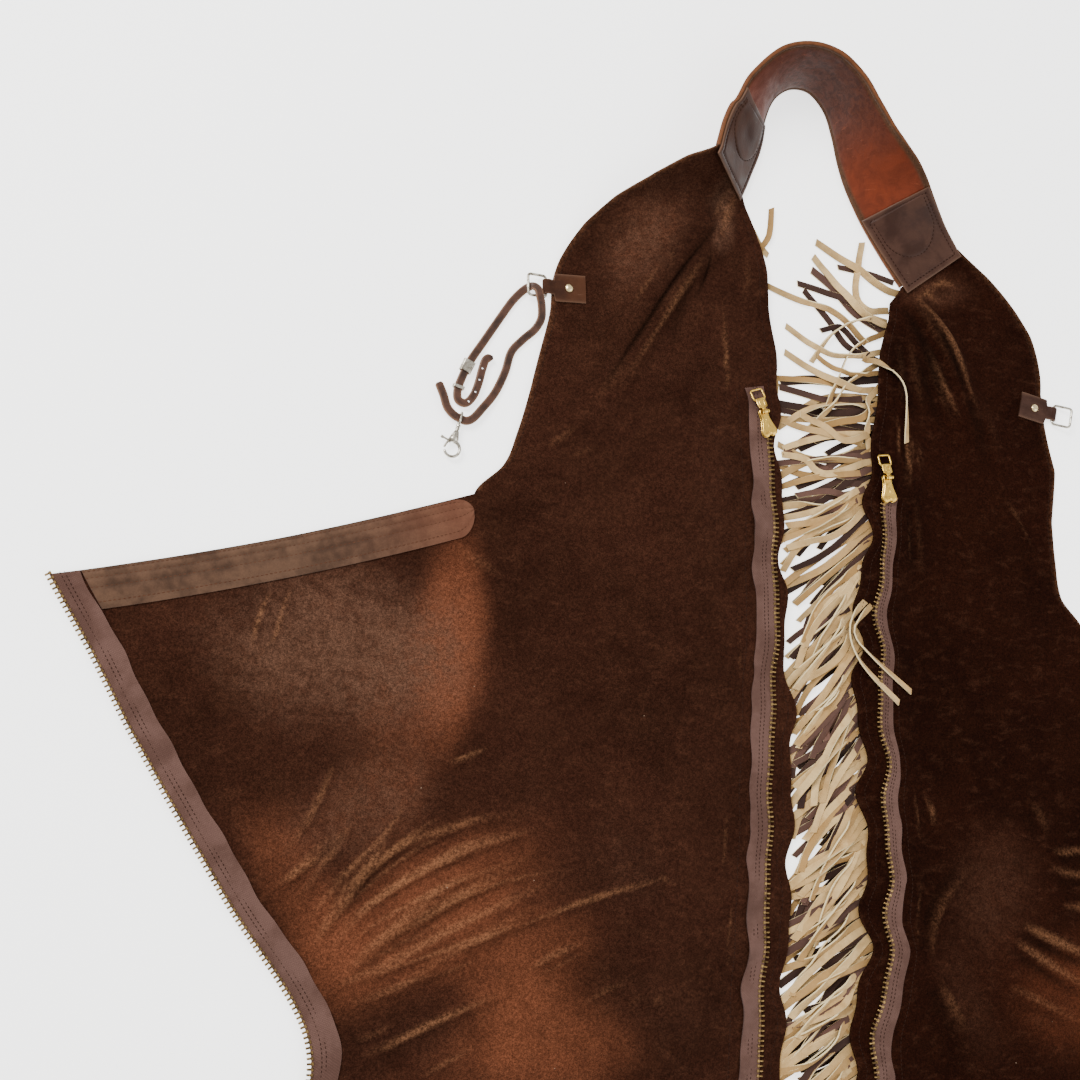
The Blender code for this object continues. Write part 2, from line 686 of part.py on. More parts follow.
def rivet(name, where):
    bm = bmesh.new()
    base = SUEDE + PATCH + 2 * GAP
    rod(bm, RIVET_RADIUS, RIVET_HEIGHT * 0.5, (0, 0, base + RIVET_HEIGHT * 0.25))
    top = [vert for vert in bm.verts if vert.co.z > base + 0.1]
    crown = bmesh.ops.extrude_face_region(
        bm, geom=[face for face in bm.faces if all(vert in top for vert in face.verts)])
    for vert in crown["geom"]:
        if isinstance(vert, bmesh.types.BMVert):
            vert.co = Vector((vert.co.x * 0.6, vert.co.y * 0.6, base + RIVET_HEIGHT))
    bmesh.ops.delete(bm, geom=[face for face in bm.faces if len(face.verts) > 4
                               and abs(face.calc_center_median().z - base - RIVET_HEIGHT / 2) < 0.1],
                     context="FACES")
    bmesh.ops.recalc_face_normals(bm, faces=bm.faces)
    place(add_object(name, bm, BRASS_FINISH), where.x, where.y, 0, where.heading)


for side_name, where in (("left", LEFT_TAB), ("right", RIGHT_TAB)):
    bar_along, bar_up = tab("front_tab_" + side_name, where, PATCH_FINISH)
    ring("tab_ring_" + side_name, where, bar_along, bar_up)
    rivet("rivet_" + side_name, where)


# --- the strap with its keeper and buckle ---------------------------------------------------

def strap_point(index):
    here = smooth(STRAP_ROUTE, index)
    return Vector((here.x, here.y, here.height))


strap_rows, strap_normals = [], []
STRAP_STEPS = 3 * (len(STRAP_ROUTE) - 1)
for step in range(STRAP_STEPS + 1):
    index = step / 3
    centre = strap_point(index)
    along = (strap_point(index + 0.2) - strap_point(index - 0.2)).normalized()
    across = along.cross(Vector((0, 0, 1))).normalized()
    strap_rows.append([centre + across * STRAP_WIDTH * side for side in (-0.5, 0, 0.5)])
    strap_normals.append([across.cross(along)] * 3)
wall("strap", strap_rows, strap_normals, 0, STRAP, STRAP_FINISH)


def frame_round_strap(name, centre, wall_thickness, length, heading, finish):
    """A flat metal loop round the strap: a bent band with an open middle."""
    inner = (STRAP_WIDTH + 4 * GAP, STRAP + 4 * GAP)
    height = STRAP_REST + STRAP / 2
    body, hole = bmesh.new(), bmesh.new()
    block(body, (length, inner[0] + 2 * wall_thickness, inner[1] + 2 * wall_thickness),
          (0, 0, height))
    block(hole, (length * 2, *inner), (0, 0, height))
    made = combine(name, body, [("DIFFERENCE", hole)], finish)
    place(made, *centre, 0, heading)


frame_round_strap("keeper", KEEPER, KEEPER_WALL, KEEPER_LENGTH, KEEPER_HEADING, STEEL_FINISH)
frame_round_strap("buckle", BUCKLE, BUCKLE_WIRE, BUCKLE_LENGTH, BUCKLE_HEADING, STEEL_FINISH)


# --- the swivel snap ------------------------------------------------------------------------

def lying(radius, start, end, end_radius=None):
    """A rod or cone along the snap's axis."""
    bm = bmesh.new()
    turn = Matrix.Rotation(math.radians(90), 4, "Y")
    rod(bm, radius, end - start, ((start + end) / 2, 0, SNAP_HEIGHT), turn, end_radius)
    return bm


def on_hook(degrees):
    angle = math.radians(degrees)
    return Vector((HOOK_CENTRE + HOOK_RADIUS * math.cos(angle),
                   HOOK_RADIUS * math.sin(angle), SNAP_HEIGHT))


def snap_piece(name, first, others):
    place(combine(name, first, others, STEEL_FINISH), *EYE, 0, SNAP_HEADING)


eye = bmesh.new()
eye_path = []
for step in range(16):
    angle = 2 * math.pi * step / 16
    squared = (math.copysign(abs(trig) ** 0.6, trig) for trig in (math.cos(angle), math.sin(angle)))
    along, rise = squared
    eye_path.append(Vector((EYE_LENGTH * along, 0, SNAP_HEIGHT + EYE_HEIGHT * rise)))
tube(eye, eye_path, EYE_WIRE, closed=True)
snap_piece("snap_eye", eye, [("UNION", lying(SHANK_RADIUS, EYE_LENGTH, SHANK_START - GAP))])

hook = bmesh.new()
tube(hook, [on_hook(HOOK_TIP + (HOOK_ROOT - HOOK_TIP) * step / 16) for step in range(17)], HOOK_WIRE)
neck = lying(SHANK_RADIUS, SHANK_START, SHANK_NECK + 0.5)
body = lying(SHANK_RADIUS + 0.2, SHANK_NECK, HOOK_CENTRE - HOOK_RADIUS + 0.6, BODY_RADIUS)
lugs = []
for side in (-1, 1):
    lug = bmesh.new()
    block(lug, (2.4, 3.2, 0.6), (GATE_PIVOT[0] - 0.6, GATE_PIVOT[1] + 0.9, SNAP_HEIGHT + side * 1.5))
    lugs.append(("UNION", lug))
snap_piece("snap_hook", hook, [("UNION", body), ("UNION", neck)] + lugs)

gate = bmesh.new()
rod(gate, 0.9, 2.0, (*GATE_PIVOT, SNAP_HEIGHT), sides=12)
arm, lever = bmesh.new(), bmesh.new()
pivot = Vector((*GATE_PIVOT, SNAP_HEIGHT))
tube(arm, [pivot, on_hook(-122), on_hook(-100), on_hook(-86)], GATE_WIRE)
tube(lever, [pivot, pivot + Vector((-1.2, -LEVER_LENGTH, 0))], GATE_WIRE)
snap_piece("snap_gate", gate, [("UNION", arm), ("UNION", lever)])


# --- the zip sliders and their pulls -----------------------------------------------------------

def strip(bm, start, end, width, thickness=PULL_THICKNESS):
    """A flat bar along the pull, from start to end."""
    block(bm, (end - start, width, thickness), ((start + end) / 2, 0, 0))


def slider(name, where):
    """A slider that flares towards the hem, with a pull hinged on its pin towards the waist."""
    pin_height = SLIDER_BASE + SLIDER_HEIGHT + PIN_LIFT
    body = bmesh.new()
    outline = [(row.along, -row.half) for row in SLIDER_OUTLINE]
    outline += [(row.along, row.half) for row in reversed(SLIDER_OUTLINE)]
    low = [body.verts.new((along, across, SLIDER_BASE)) for along, across in outline]
    face = body.faces.new(low)
    top = bmesh.ops.extrude_face_region(body, geom=[face])["geom"]
    top = [vert for vert in top if isinstance(vert, bmesh.types.BMVert)]
    bmesh.ops.translate(body, vec=(0, 0, SLIDER_HEIGHT), verts=top)
    bmesh.ops.recalc_face_normals(body, faces=body.faces)
    tools = []
    for side in (-1, 1):
        ear = bmesh.new()
        block(ear, (EAR_LENGTH, EAR_WIDTH, PIN_LIFT + EAR_RISE),
              (0, side * EAR_OFF, SLIDER_BASE + SLIDER_HEIGHT + PIN_LIFT / 2))
        tools.append(("UNION", ear))
    pin = bmesh.new()
    sideways = Matrix.Rotation(math.radians(90), 4, "X")
    rod(pin, PIN_RADIUS, PIN_LENGTH, (0, 0, pin_height), sideways, sides=12)
    tools.append(("UNION", pin))
    made = combine("zip_slider_" + name, body, tools, BRASS_FINISH)
    place(made, where.x, where.y, 0, where.heading)

    pull = bmesh.new()
    rod(pull, PIN_RADIUS + GAP + BARREL_WALL, BARREL_LENGTH, (0, 0, 0), sideways)
    neck, plate, loop, window, bore = (bmesh.new() for _ in range(5))
    strip(neck, NECK_START, NECK_END, NECK_WIDTH)
    strip(plate, PLATE_START, PLATE_END, PLATE_WIDTH)
    strip(loop, LOOP_START, LOOP_END, LOOP_WIDTH)
    strip(window, PLATE_END, LOOP_END - LOOP_WIRE, LOOP_WIDTH - 2 * LOOP_WIRE, 4 * PULL_THICKNESS)
    rod(bore, PIN_RADIUS + GAP, 3 * BARREL_LENGTH, (0, 0, 0), sideways)
    steps = [("UNION", neck), ("UNION", plate), ("UNION", loop)]
    steps += [("DIFFERENCE", window), ("DIFFERENCE", bore)]
    made = combine("zip_pull_" + name, pull, steps, BRASS_FINISH)
    made.data.transform(Matrix.Rotation(math.radians(PULL_TILT), 4, "Y"))
    place(made, where.x, where.y, pin_height, where.heading)


slider("left", LEFT_SLIDER)
slider("right", RIGHT_SLIDER)


# --- one frame for the whole garment: the origin is the middle of its box, on the floor ---------

corners = [obj.matrix_world @ vert.co for obj in bpy.data.objects for vert in obj.data.vertices]
middle = [(min(p[i] for p in corners) + max(p[i] for p in corners)) / 2 for i in (0, 1)]
floor = min(p.z for p in corners)
for obj in bpy.data.objects:
    obj.data.transform(Matrix.Translation((-middle[0], -middle[1], -floor)))
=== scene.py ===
"""The looks of zip-leg suede chaps that lie flat and open with the inside up.

Sizes are millimetres in the plane of the laid-out garment. The left side zip's tape starts at
about (179, 120) there, +y runs to the back belt, and a finished mesh is moved to its place in
metres. Heights are measured from the surface that the garment lies on.
"""

import math
from collections import namedtuple

import bmesh
import bpy
import numpy as np
from mathutils import Matrix, Vector, noise


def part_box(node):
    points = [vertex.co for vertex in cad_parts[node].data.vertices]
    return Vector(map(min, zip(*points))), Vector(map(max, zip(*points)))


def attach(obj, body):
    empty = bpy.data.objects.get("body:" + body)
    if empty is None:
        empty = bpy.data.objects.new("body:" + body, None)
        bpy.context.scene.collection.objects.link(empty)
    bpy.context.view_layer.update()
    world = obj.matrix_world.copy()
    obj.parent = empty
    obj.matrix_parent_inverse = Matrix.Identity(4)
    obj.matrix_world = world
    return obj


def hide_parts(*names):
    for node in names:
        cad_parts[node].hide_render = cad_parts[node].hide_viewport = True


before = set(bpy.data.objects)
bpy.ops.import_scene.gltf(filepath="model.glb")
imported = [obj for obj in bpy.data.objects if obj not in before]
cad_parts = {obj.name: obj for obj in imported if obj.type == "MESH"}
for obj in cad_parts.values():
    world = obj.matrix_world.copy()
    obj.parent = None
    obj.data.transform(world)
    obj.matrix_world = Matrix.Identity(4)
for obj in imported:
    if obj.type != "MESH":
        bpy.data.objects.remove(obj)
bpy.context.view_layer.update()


# --- floor, light and camera ------------------------------------------------------------------
# The garment lies on a pale studio floor under one large soft lamp and an even sky. The camera
# looks down from about a metre, a little to the lower left, turned upright on the garment.

MM = 0.001
RIVET_AT = Vector((26, 188, 0))
low, high = (Vector(corner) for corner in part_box("rivet_left"))
HOME = (low + high) / 2 - RIVET_AT * MM
HOME.z = 0
TO_WORLD = Matrix.Translation(HOME) @ Matrix.Scale(MM, 4)


def srgb(red, green, blue):
    """A colour as a screen shows it, from 0 to 255, as a linear colour."""
    def linear(value):
        return value / 12.92 if value <= 0.04045 else ((value + 0.055) / 1.055) ** 2.4
    return tuple(linear(value / 255) for value in (red, green, blue)) + (1.0,)


def new_finish(name, roughness, metallic=0.0, sheen=0.0, coat=0.0, specular=0.5):
    """A material and its tree, with the values that are the same all over already set."""
    made = bpy.data.materials.new(name)
    made.use_nodes = True
    shader = made.node_tree.nodes["Principled BSDF"]
    values = {"Roughness": roughness, "Metallic": metallic, "Sheen Weight": sheen,
              "Coat Weight": coat, "Specular IOR Level": specular}
    for socket, value in values.items():
        shader.inputs[socket].default_value = value
    return made, made.node_tree, shader


floor_finish, _, floor_shader = new_finish("studio_floor", 0.9, specular=0.2)
floor_shader.inputs["Base Color"].default_value = srgb(248, 248, 247)
floor_shader.inputs["Emission Color"].default_value = srgb(255, 255, 255)
floor_shader.inputs["Emission Strength"].default_value = 1.8
bpy.ops.mesh.primitive_plane_add(size=9.0, location=(0, 0, -0.0004))
floor = bpy.context.object
floor.name = "studio_floor"
floor.data.materials.append(floor_finish)

sky = bpy.data.worlds.new("studio_sky")
sky.use_nodes = True
sky.node_tree.nodes["Background"].inputs["Color"].default_value = (1.0, 0.985, 0.965, 1.0)
sky.node_tree.nodes["Background"].inputs["Strength"].default_value = 1.0
bpy.context.scene.world = sky

Lamp = namedtuple("Lamp", "name x y z size power")
for lamp in (Lamp("window", -1.6, 1.5, 1.9, 1.2, 86), Lamp("fill", 1.8, -0.8, 2.2, 2.4, 34)):
    light = bpy.data.lights.new(lamp.name, "AREA")
    light.size = lamp.size
    light.energy = lamp.power
    holder = bpy.data.objects.new(lamp.name, light)
    holder.location = (lamp.x, lamp.y, lamp.z)
    holder.rotation_mode = "QUATERNION"
    holder.rotation_quaternion = Vector((-lamp.x, -lamp.y, -lamp.z)).to_track_quat("-Z", "Y")
    bpy.context.scene.collection.objects.link(holder)

CAMERA_AT = Vector((-312.6, -161.3, 1004.8))
lens = bpy.data.cameras.new("camera")
lens.lens = 49.6
lens.sensor_width = 36.0
camera = bpy.data.objects.new("camera", lens)
camera.location = TO_WORLD @ CAMERA_AT
camera.rotation_mode = "QUATERNION"
camera.rotation_quaternion = Vector((0, 0, -1)).rotation_difference(-CAMERA_AT)
bpy.context.scene.collection.objects.link(camera)
bpy.context.scene.camera = camera


# --- the suede leg panels ---------------------------------------------------------------------
# Each leg is one piece of thick split suede, nap side up, cut with a waist curve, a crotch curve,
# a wide thigh and a flap past the side zip. Wear has rubbed the seat and knees rust brown.

SUEDE = 1.6
THIGH_ROW = 12
CROTCH_SHARE = 0.448
THIGH_SAG = 5.0
TAKEN_WITHIN = 110.0
FRINGE_THICKNESS = 3.0
FRINGE_ROOT, FRINGE_REACH, FRINGE_TOP = 12.0, 84.0, 128.0
OVER_FRINGE = FRINGE_THICKNESS + 0.6
RIPPLE_PITCH, RIPPLE_FADE = 76.0, 45.0

# The cut, row by row from the waist down: the side seam's height v, how far the flap stands out
# past it, and the far edge as a distance u from the seam and a height v
Cut = namedtuple("Cut", "seam_v flap edge_u edge_v")
WAIST_CUT = [Cut(*row) for row in (
    (153, -11, 67, 186), (140, -5, 88, 174), (127, -1, 106, 158), (112, 4, 124, 140),
    (96, 8, 141, 119), (78, 9, 155, 97), (60, 10, 164, 74), (44, 13, 167, 50), (28, 17, 175, 22),
    (10, 18, 186, -14), (-8, 17, 196, -42), (-23, 15, 207, -66),
)]
LEG_CUT = [Cut(*row) for row in (
    (-38, 14, 511, -150), (-68, 15, 495, -177), (-150, 20, 446, -257), (-250, 19, 383, -356),
    (-355, 19, 316, -456), (-430, 18, 330, -545), (-560, 19, 345, -670), (-720, 17, 354, -810),
    (-862, 16, 360, -950),
)]
INSIDE_CUT = list(WAIST_CUT)
for cut in LEG_CUT:
    crotch_v = cut.seam_v + (cut.edge_v - cut.seam_v) * CROTCH_SHARE
    INSIDE_CUT.append(Cut(cut.seam_v, cut.flap, cut.edge_u * CROTCH_SHARE, crotch_v))

# How a leg lies, by height v of its cut: where its side seam is, the turn of its rows in degrees,
# what its creases take out of its width, what of its flap is turned under, and how high it rises
Lay = namedtuple("Lay", "v x y turn taken turned rise")
LEFT_LAY = [Lay(*row) for row in (
    (186, 178, 296, 0, 19, 0, 44), (174, 178, 286, 0, 25, 0, 38), (158, 178, 275, 0, 17, 0, 27),
    (140, 178, 259, 0, 7, 0, 13), (119, 178, 239, 0, 2, 0, 4), (90, 178, 210, 0, 0, 0, 0),
    (0, 179, 120, 0, 0, 6, 0), (-60, 181, 60, 0, 0, 6, 0), (-140, 180, -20, 0, 0, 12, 0),
    (-200, 177, -80, 0, 0, 11, 0), (-250, 171, -130, 0, 0, 0, 0), (-360, 163, -240, 0, 0, 0, 0),
    (-500, 148, -380, 0, 0, 0, 0), (-960, 135, -838, 0, 0, 0, 0),
)]
RIGHT_LAY = [Lay(*row) for row in (
    (186, 291, 238, 0, 0, 0, 6), (158, 289, 210, 0, 0, 0, 5), (119, 290, 176, 0, 10, 0, 2),
    (74, 287, 129, 0, 23, 0, 0), (22, 285, 76, -4, 24, 0, 0), (-14, 281, 39, -6, 38, 0, 0),
    (-66, 270, -12, -9, 42, 0, 0), (-114, 265, -60, -10, 44, 0, 0),
    (-234, 264, -180, -10, 32, 0, 0), (-350, 260, -297, -10, 12, 0, 0),
    (-432, 240, -378, -10, 0, 0, 0), (-960, 196, -902, -8, 0, 0, 0),
)]
# A leg: -1 where it spreads to the left of its side seam and 1 to the right, how it lies, how far
# its seam and its flap ripple, and how much of it from the seam on lies over the fringe
Leg = namedtuple("Leg", "name side lay zip_ripple flap_ripple fringe_cover")
LEFT = Leg("left", -1, LEFT_LAY, 1.5, 3.0, FRINGE_REACH + FRINGE_ROOT)
RIGHT = Leg("right", 1, RIGHT_LAY, 4.0, 4.0, 2 * FRINGE_ROOT)

# The belt comes into a panel's top row, so the line that it stands on is needed here already. Its
# tilt is in degrees from lying flat
BELT, BELT_WIDTH, GAP = 4.0, 61.0, 0.3
BeltStation = namedtuple("BeltStation", "x y tilt")
BELT_LINE = [BeltStation(*row) for row in (
    (168, 276, 46), (178, 297, 43), (186, 318, 45), (190, 338, 54), (199, 358, 68),
    (215, 370, 82), (234, 369, 88), (248, 353, 86), (254, 331, 79), (257, 309, 66),
    (262, 287, 47), (272, 262, 27), (288, 234, 12), (304, 210, 6),
)]

# The largest folds, which the solid has too: a ridge's ends, its height and its half width
Fold = namedtuple("Fold", "x0 y0 x1 y1 height half_width")
FOLDS = [Fold(*row) for row in (
    (128, 236, 66, 150, 6, 16), (330, 178, 366, 92, 6, 15), (-120, -262, 10, -196, 4, 15),
    (-110, -300, 30, -232, 4, 15), (322, -236, 300, -300, 4, 16), (302, -312, 330, -372, 4, 16),
    (-110, -480, 40, -430, 4, 18), (420, -480, 560, -540, 4, 18),
)]

# A crease runs through three points. Its right flank is steep where lean is above 0; rub says how
# light its back is worn, and dark how deep the shade at its steep foot is. A furrow has a height
# below 0, and its shade lies along its middle
Crease = namedtuple("Crease", "x0 y0 x1 y1 x2 y2 height width lean rub dark")
CREASES = [Crease(*row) for row in (
    # the folds from the left belt joint down the hip
    (160, 238, 112, 190, 92, 158, 3.8, 8, -0.5, 0.25, 0),
    (94, 162, 74, 126, 50, 86, 2.6, 8, -0.5, 0.2, 0.2),
    (148, 247, 103, 193, 50, 110, -3, 2.3, 0, 0, 1.5),
    (137, 226, 100, 172, 69, 124, 1.2, 2.2, 0, 0.55, 0),
    (102, 216, 84, 192, 68, 166, 1, 2.2, 0, 0.5, 0),
    (140, 232, 134, 205, 124, 184, -1.8, 2, 0, 0, 1.2),
    (145, 167, 148, 141, 149, 108, 0.4, 1.7, 0, 0.55, 0),
    (134, 206, 123, 171, 112, 140, 2.4, 8, 0.4, 0.2, 0.7),
    (148, 196, 149, 154, 149, 112, 1, 2.6, 0, 0.45, 0.2),
    (34, 89, 16, 75, 2, 66, 1.4, 4, 0.2, 0.4, 0.3),
    (18, 58, 33, 65, 50, 72, 0.8, 3, 0.2, 0.3, 0.2),
    (167, 283, 154, 255, 145, 230, 2.6, 5, 0.3, 0.6, 0.5),
    (158, 285, 149, 262, 140, 248, 1.8, 4, 0.3, 0.5, 0.5),
    (104, 234, 106, 216, 103, 200, 1, 3.5, 0, 0.3, 0.2),
    (73, 149, 53, 117, 21, 82, 1.6, 7, 0.2, 0.25, 0.4),
    (170, 236, 168, 205, 160, 170, 1.2, 5, 0.2, 0.3, 0.3),
    (-64, -4, -45, -16, -22, -33, 1, 3.5, 0.2, 0.4, 0.3),
    (-189, -36, -199, -58, -204, -82, 0.8, 2, 0, 1, 0.3),
    (-174, -32, -184, -54, -190, -79, 0.6, 1.9, 0, 0.7, 0.2),
    # the fan at the back of the left knee
    (-184, -235, -164, -214, -142, -196, 0.8, 2.9, 0.2, 0.5, 0.3),
    (-187, -217, -160, -179, -148, -148, 0.7, 2.6, 0.2, 0.45, 0.2),
    (-179, -250, -154, -219, -129, -186, 0.9, 3.2, 0.2, 0.5, 0.3),
    (-167, -278, -132, -233, -97, -177, 1, 2.9, 0.2, 0.6, 0.3),
    (-171, -266, -148, -236, -113, -203, 1, 3.4, 0.2, 0.5, 0.3),
    (-163, -282, -113, -216, 3, -191, 1.4, 3.5, 0.3, 0.75, 0.4),
    (-158, -288, -97, -231, 5, -199, 1.3, 3.4, 0.3, 0.75, 0.3),
    (-149, -298, -97, -254, -43, -223, 1.4, 4, 0.3, 0.6, 0.5),
    (-140, -290, -85, -255, -2, -218, 1.5, 4.5, 0.3, 0.8, 0.5),
    (-130, -301, -77, -271, 26, -231, 1.5, 4.3, 0.3, 0.8, 0.5),
    (-152, -300, -130, -293, -98, -278, 0.9, 3.5, 0.2, 0.55, 0.3),
    (-106, -299, -56, -276, 15, -245, 1.2, 4.8, 0.2, 0.5, 0.4),
    (-19, -266, 32, -252, 98, -238, 0.9, 2.7, 0.3, 0.9, 0.3),
    (-23, -302, 3, -288, 29, -281, 0.9, 3.2, 0.3, 0.7, 0.3),
    (-144, -310, -114, -305, -77, -287, 0.9, 4, 0.2, 0.5, 0.3),
    (-138, -348, -94, -332, -25, -306, 1.1, 4, 0.3, 0.6, 0.4),
    (-94, -362, -74, -353, -47, -341, 0.8, 2.9, 0.2, 0.55, 0.2),
    (17, -325, 39, -314, 57, -309, 0.5, 2.4, 0.2, 0.5, 0.1),
    (48, -324, 68, -322, 86, -323, 0.7, 2.6, 0.2, 0.45, 0.2),
    (-140, -336, -124, -332, -106, -324, 0.7, 3.5, 0.2, 0.4, 0.2),
    (-191, -236, -171, -224, -138, -210, 0.7, 2.9, 0.2, 0.5, 0.2),
    (-76, -162, -54, -152, -39, -146, 0.5, 2.6, 0.2, 0.4, 0.1),
    (-81, -224, -64, -214, -34, -205, 0.7, 3.2, 0.2, 0.4, 0.2),
    (-190, -220, -163, -189, -144, -140, 0.6, 1.7, 0.2, 0.5, 0.2),
    (-186, -236, -158, -214, -136, -194, 0.7, 1.8, 0.2, 0.5, 0.3),
    (-161, -238, -125, -213, -94, -174, 0.7, 1.7, 0.2, 0.6, 0.3),
    (-172, -276, -107, -213, -73, -194, 0.8, 1.9, 0.2, 0.7, 0.3),
    (-165, -274, -105, -221, -33, -189, 0.8, 1.8, 0.2, 0.7, 0.3),
    (-155, -267, -76, -224, 6, -201, 0.8, 2, 0.2, 0.8, 0.4),
    (-153, -284, -94, -247, -1, -217, 0.8, 1.9, 0.2, 0.7, 0.4),
    (-145, -292, -105, -275, -58, -255, 0.7, 1.7, 0.2, 0.6, 0.3),
    (-105, -275, -53, -243, 29, -231, 0.8, 2, 0.2, 0.8, 0.3),
    (-140, -299, -69, -279, 30, -253, 0.8, 1.8, 0.2, 0.7, 0.3),
    (-125, -305, -74, -294, -35, -284, 0.6, 1.7, 0.2, 0.5, 0.2),
    (-17, -305, 5, -296, 29, -285, 0.6, 1.7, 0.2, 0.5, 0.2),
    (-121, -346, -88, -329, -19, -308, 0.7, 1.8, 0.2, 0.5, 0.3),
    (-208, -95, -187, -67, -173, -36, 0.4, 1.7, 0, 0.4, 0.1),
    (-70, -41, -57, -105, -48, -140, 0.4, 1.7, 0, 0.4, 0.1),
    (-68, -5, -49, -18, -29, -31, 0.4, 1.6, 0, 0.4, 0.1),
    (-77, -156, -59, -152, -40, -145, 0.5, 1.7, 0, 0.5, 0.2),
    # rub lines beside the side zips' seams
    (151, -41, 149, -77, 148, -120, 0.3, 1.7, 0, 0.5, 0.1),
    (136, -190, 131, -216, 129, -250, 0.4, 1.7, 0, 0.5, 0.15),
    (138, -250, 132, -280, 129, -320, 0.4, 1.7, 0, 0.5, 0.15),
    (80, -233, 86, -242, 100, -245, 0.4, 1.7, 0, 0.5, 0.2),
    (73, -331, 87, -321, 97, -318, 0.4, 1.7, 0, 0.5, 0.2),
    (288, -178, 289, -202, 290, -230, 0.6, 1.9, 0, 0.5, 0.3),
    (290, -241, 285, -272, 279, -311, 0.5, 1.8, 0, 0.45, 0.2),
    (299, 27, 297, 6, 296, -23, 0.5, 1.7, 0, 0.4, 0.2),
    # the lower half of the left leg
    (-150, -420, -70, -400, 20, -404, 1.8, 5, 0.2, 0.4, 0.5),
    (-120, -450, -50, -446, 60, -420, 1.6, 6, 0.2, 0.35, 0.5),
    (-160, -520, -90, -500, -10, -508, 1.4, 5, -0.2, 0.3, 0.4),
    (20, -560, 50, -600, 60, -660, 1.6, 7, 0.2, 0.3, 0.4),
    (-120, -640, -60, -618, 10, -626, 1.4, 5, 0.2, 0.3, 0.4),
    (-60, -760, -20, -740, 50, -744, 1.6, 6, -0.2, 0.3, 0.4),
    # the folds from the right belt joint down the hip
    (308, 200, 325, 174, 352, 122, 4.6, 6.5, 0.6, 0.3, 1),
    (314, 204, 337, 177, 362, 130, 2.6, 4.4, -0.3, 0.7, 0.6),
    (305, 189, 309, 137, 320, 100, 2.2, 6, 0.3, 0.3, 0.7),
    (325, 205, 340, 215, 356, 212, 1.6, 4.4, 0.2, 0.7, 0.5),
    (317, 196, 327, 206, 336, 196, 1.4, 3.6, 0.2, 0.7, 0.5),
    (317, 161, 330, 132, 348, 86, 2.6, 6, 0.3, 0.35, 0.8),
    (297, 168, 297, 137, 297, 104, 1.4, 4, 0.2, 0.35, 0.4),
    (362, 130, 376, 100, 384, 60, 2, 8, 0.3, 0.2, 0.6),
    (300, 60, 306, 10, 304, -40, 1.6, 5, 0.2, 0.25, 0.5),
    (329, 182, 349, 146, 368, 98, 2, 2.8, 0.3, 0.6, 0.8),
    (319, 168, 335, 130, 352, 98, 1.4, 2.4, 0.3, 0.5, 0.6),
    (305, 87, 308, 71, 312, 55, 0.8, 2, 0, 0.4, 0.3),
    (380, 51, 399, 21, 417, -14, 0.6, 2, 0, 0.35, 0.3),
    # the wrinkles over the top of the right side zip
    (303, 112, 300, 83, 298, 60, 0.6, 1.6, 0, 0.5, 0.3),
    (292, 108, 292, 86, 290, 66, 0.9, 1.7, 0, 0.7, 0.4),
    (297, 106, 299, 76, 294, 45, 0.9, 1.7, 0, 0.6, 0.5),
    (303, 92, 302, 70, 296, 37, 1.3, 1.9, 0, 0.6, 0.6),
    (307, 90, 311, 76, 315, 58, 1, 1.8, 0, 0.4, 0.4),
    # the right knee's worn oval and the creases that run out of it
    (350, -230, 302, -276, 298, -317, 2.4, 5, -0.5, 0.45, 0.7),
    (298, -317, 308, -339, 325, -368, 2.2, 6, -0.4, 0.45, 0.6),
    (382, -191, 397, -207, 401, -229, 1.6, 6, 0.2, 0.35, 0.5),
    (404, -231, 424, -235, 470, -226, 1.8, 3.6, 0.2, 0.7, 0.6),
    (400, -241, 424, -252, 480, -250, 1.8, 3.8, 0.2, 0.6, 0.6),
    (408, -273, 440, -277, 500, -266, 2, 4.2, 0.3, 0.75, 0.6),
    (374, -285, 400, -300, 470, -330, 2.6, 4.6, 0.3, 0.9, 0.9),
    (364, -296, 390, -314, 450, -350, 2.2, 4.6, 0.3, 0.7, 0.8),
    (356, -331, 382, -342, 440, -372, 1.6, 4.4, 0.2, 0.5, 0.5),
    (430, -300, 470, -300, 540, -276, 2, 5, 0.2, 0.5, 0.6),
    (295, -186, 303, -201, 300, -213, 1.2, 3.6, 0.2, 0.6, 0.4),
    (424, 71, 402, 30, 380, 49, 0.9, 2.6, 0, 0.25, 0.3),
    # the lower half of the right leg, and its thigh
    (420, -410, 480, -420, 560, -400, 2, 6, 0.2, 0.35, 0.5),
    (300, -500, 360, -520, 440, -500, 1.8, 6, 0.2, 0.3, 0.5),
    (380, -600, 440, -620, 520, -600, 1.6, 6, 0.2, 0.3, 0.4),
    (260, -700, 300, -730, 380, -740, 1.6, 6, 0.2, 0.3, 0.4),
    (560, -60, 600, -90, 640, -140, 1.2, 4, 0.2, 0.4, 0.3),
    (470, -20, 500, -60, 500, -110, 1.4, 5, 0.2, 0.3, 0.4),
)]

# Where metal parts are fixed and the leather under them stays flat
Flat = namedtuple("Flat", "x y reach")
FLAT_PLACES = (Flat(26, 188, 20), Flat(420, 117, 20), Flat(178, 95, 22), Flat(280, 46, 20))

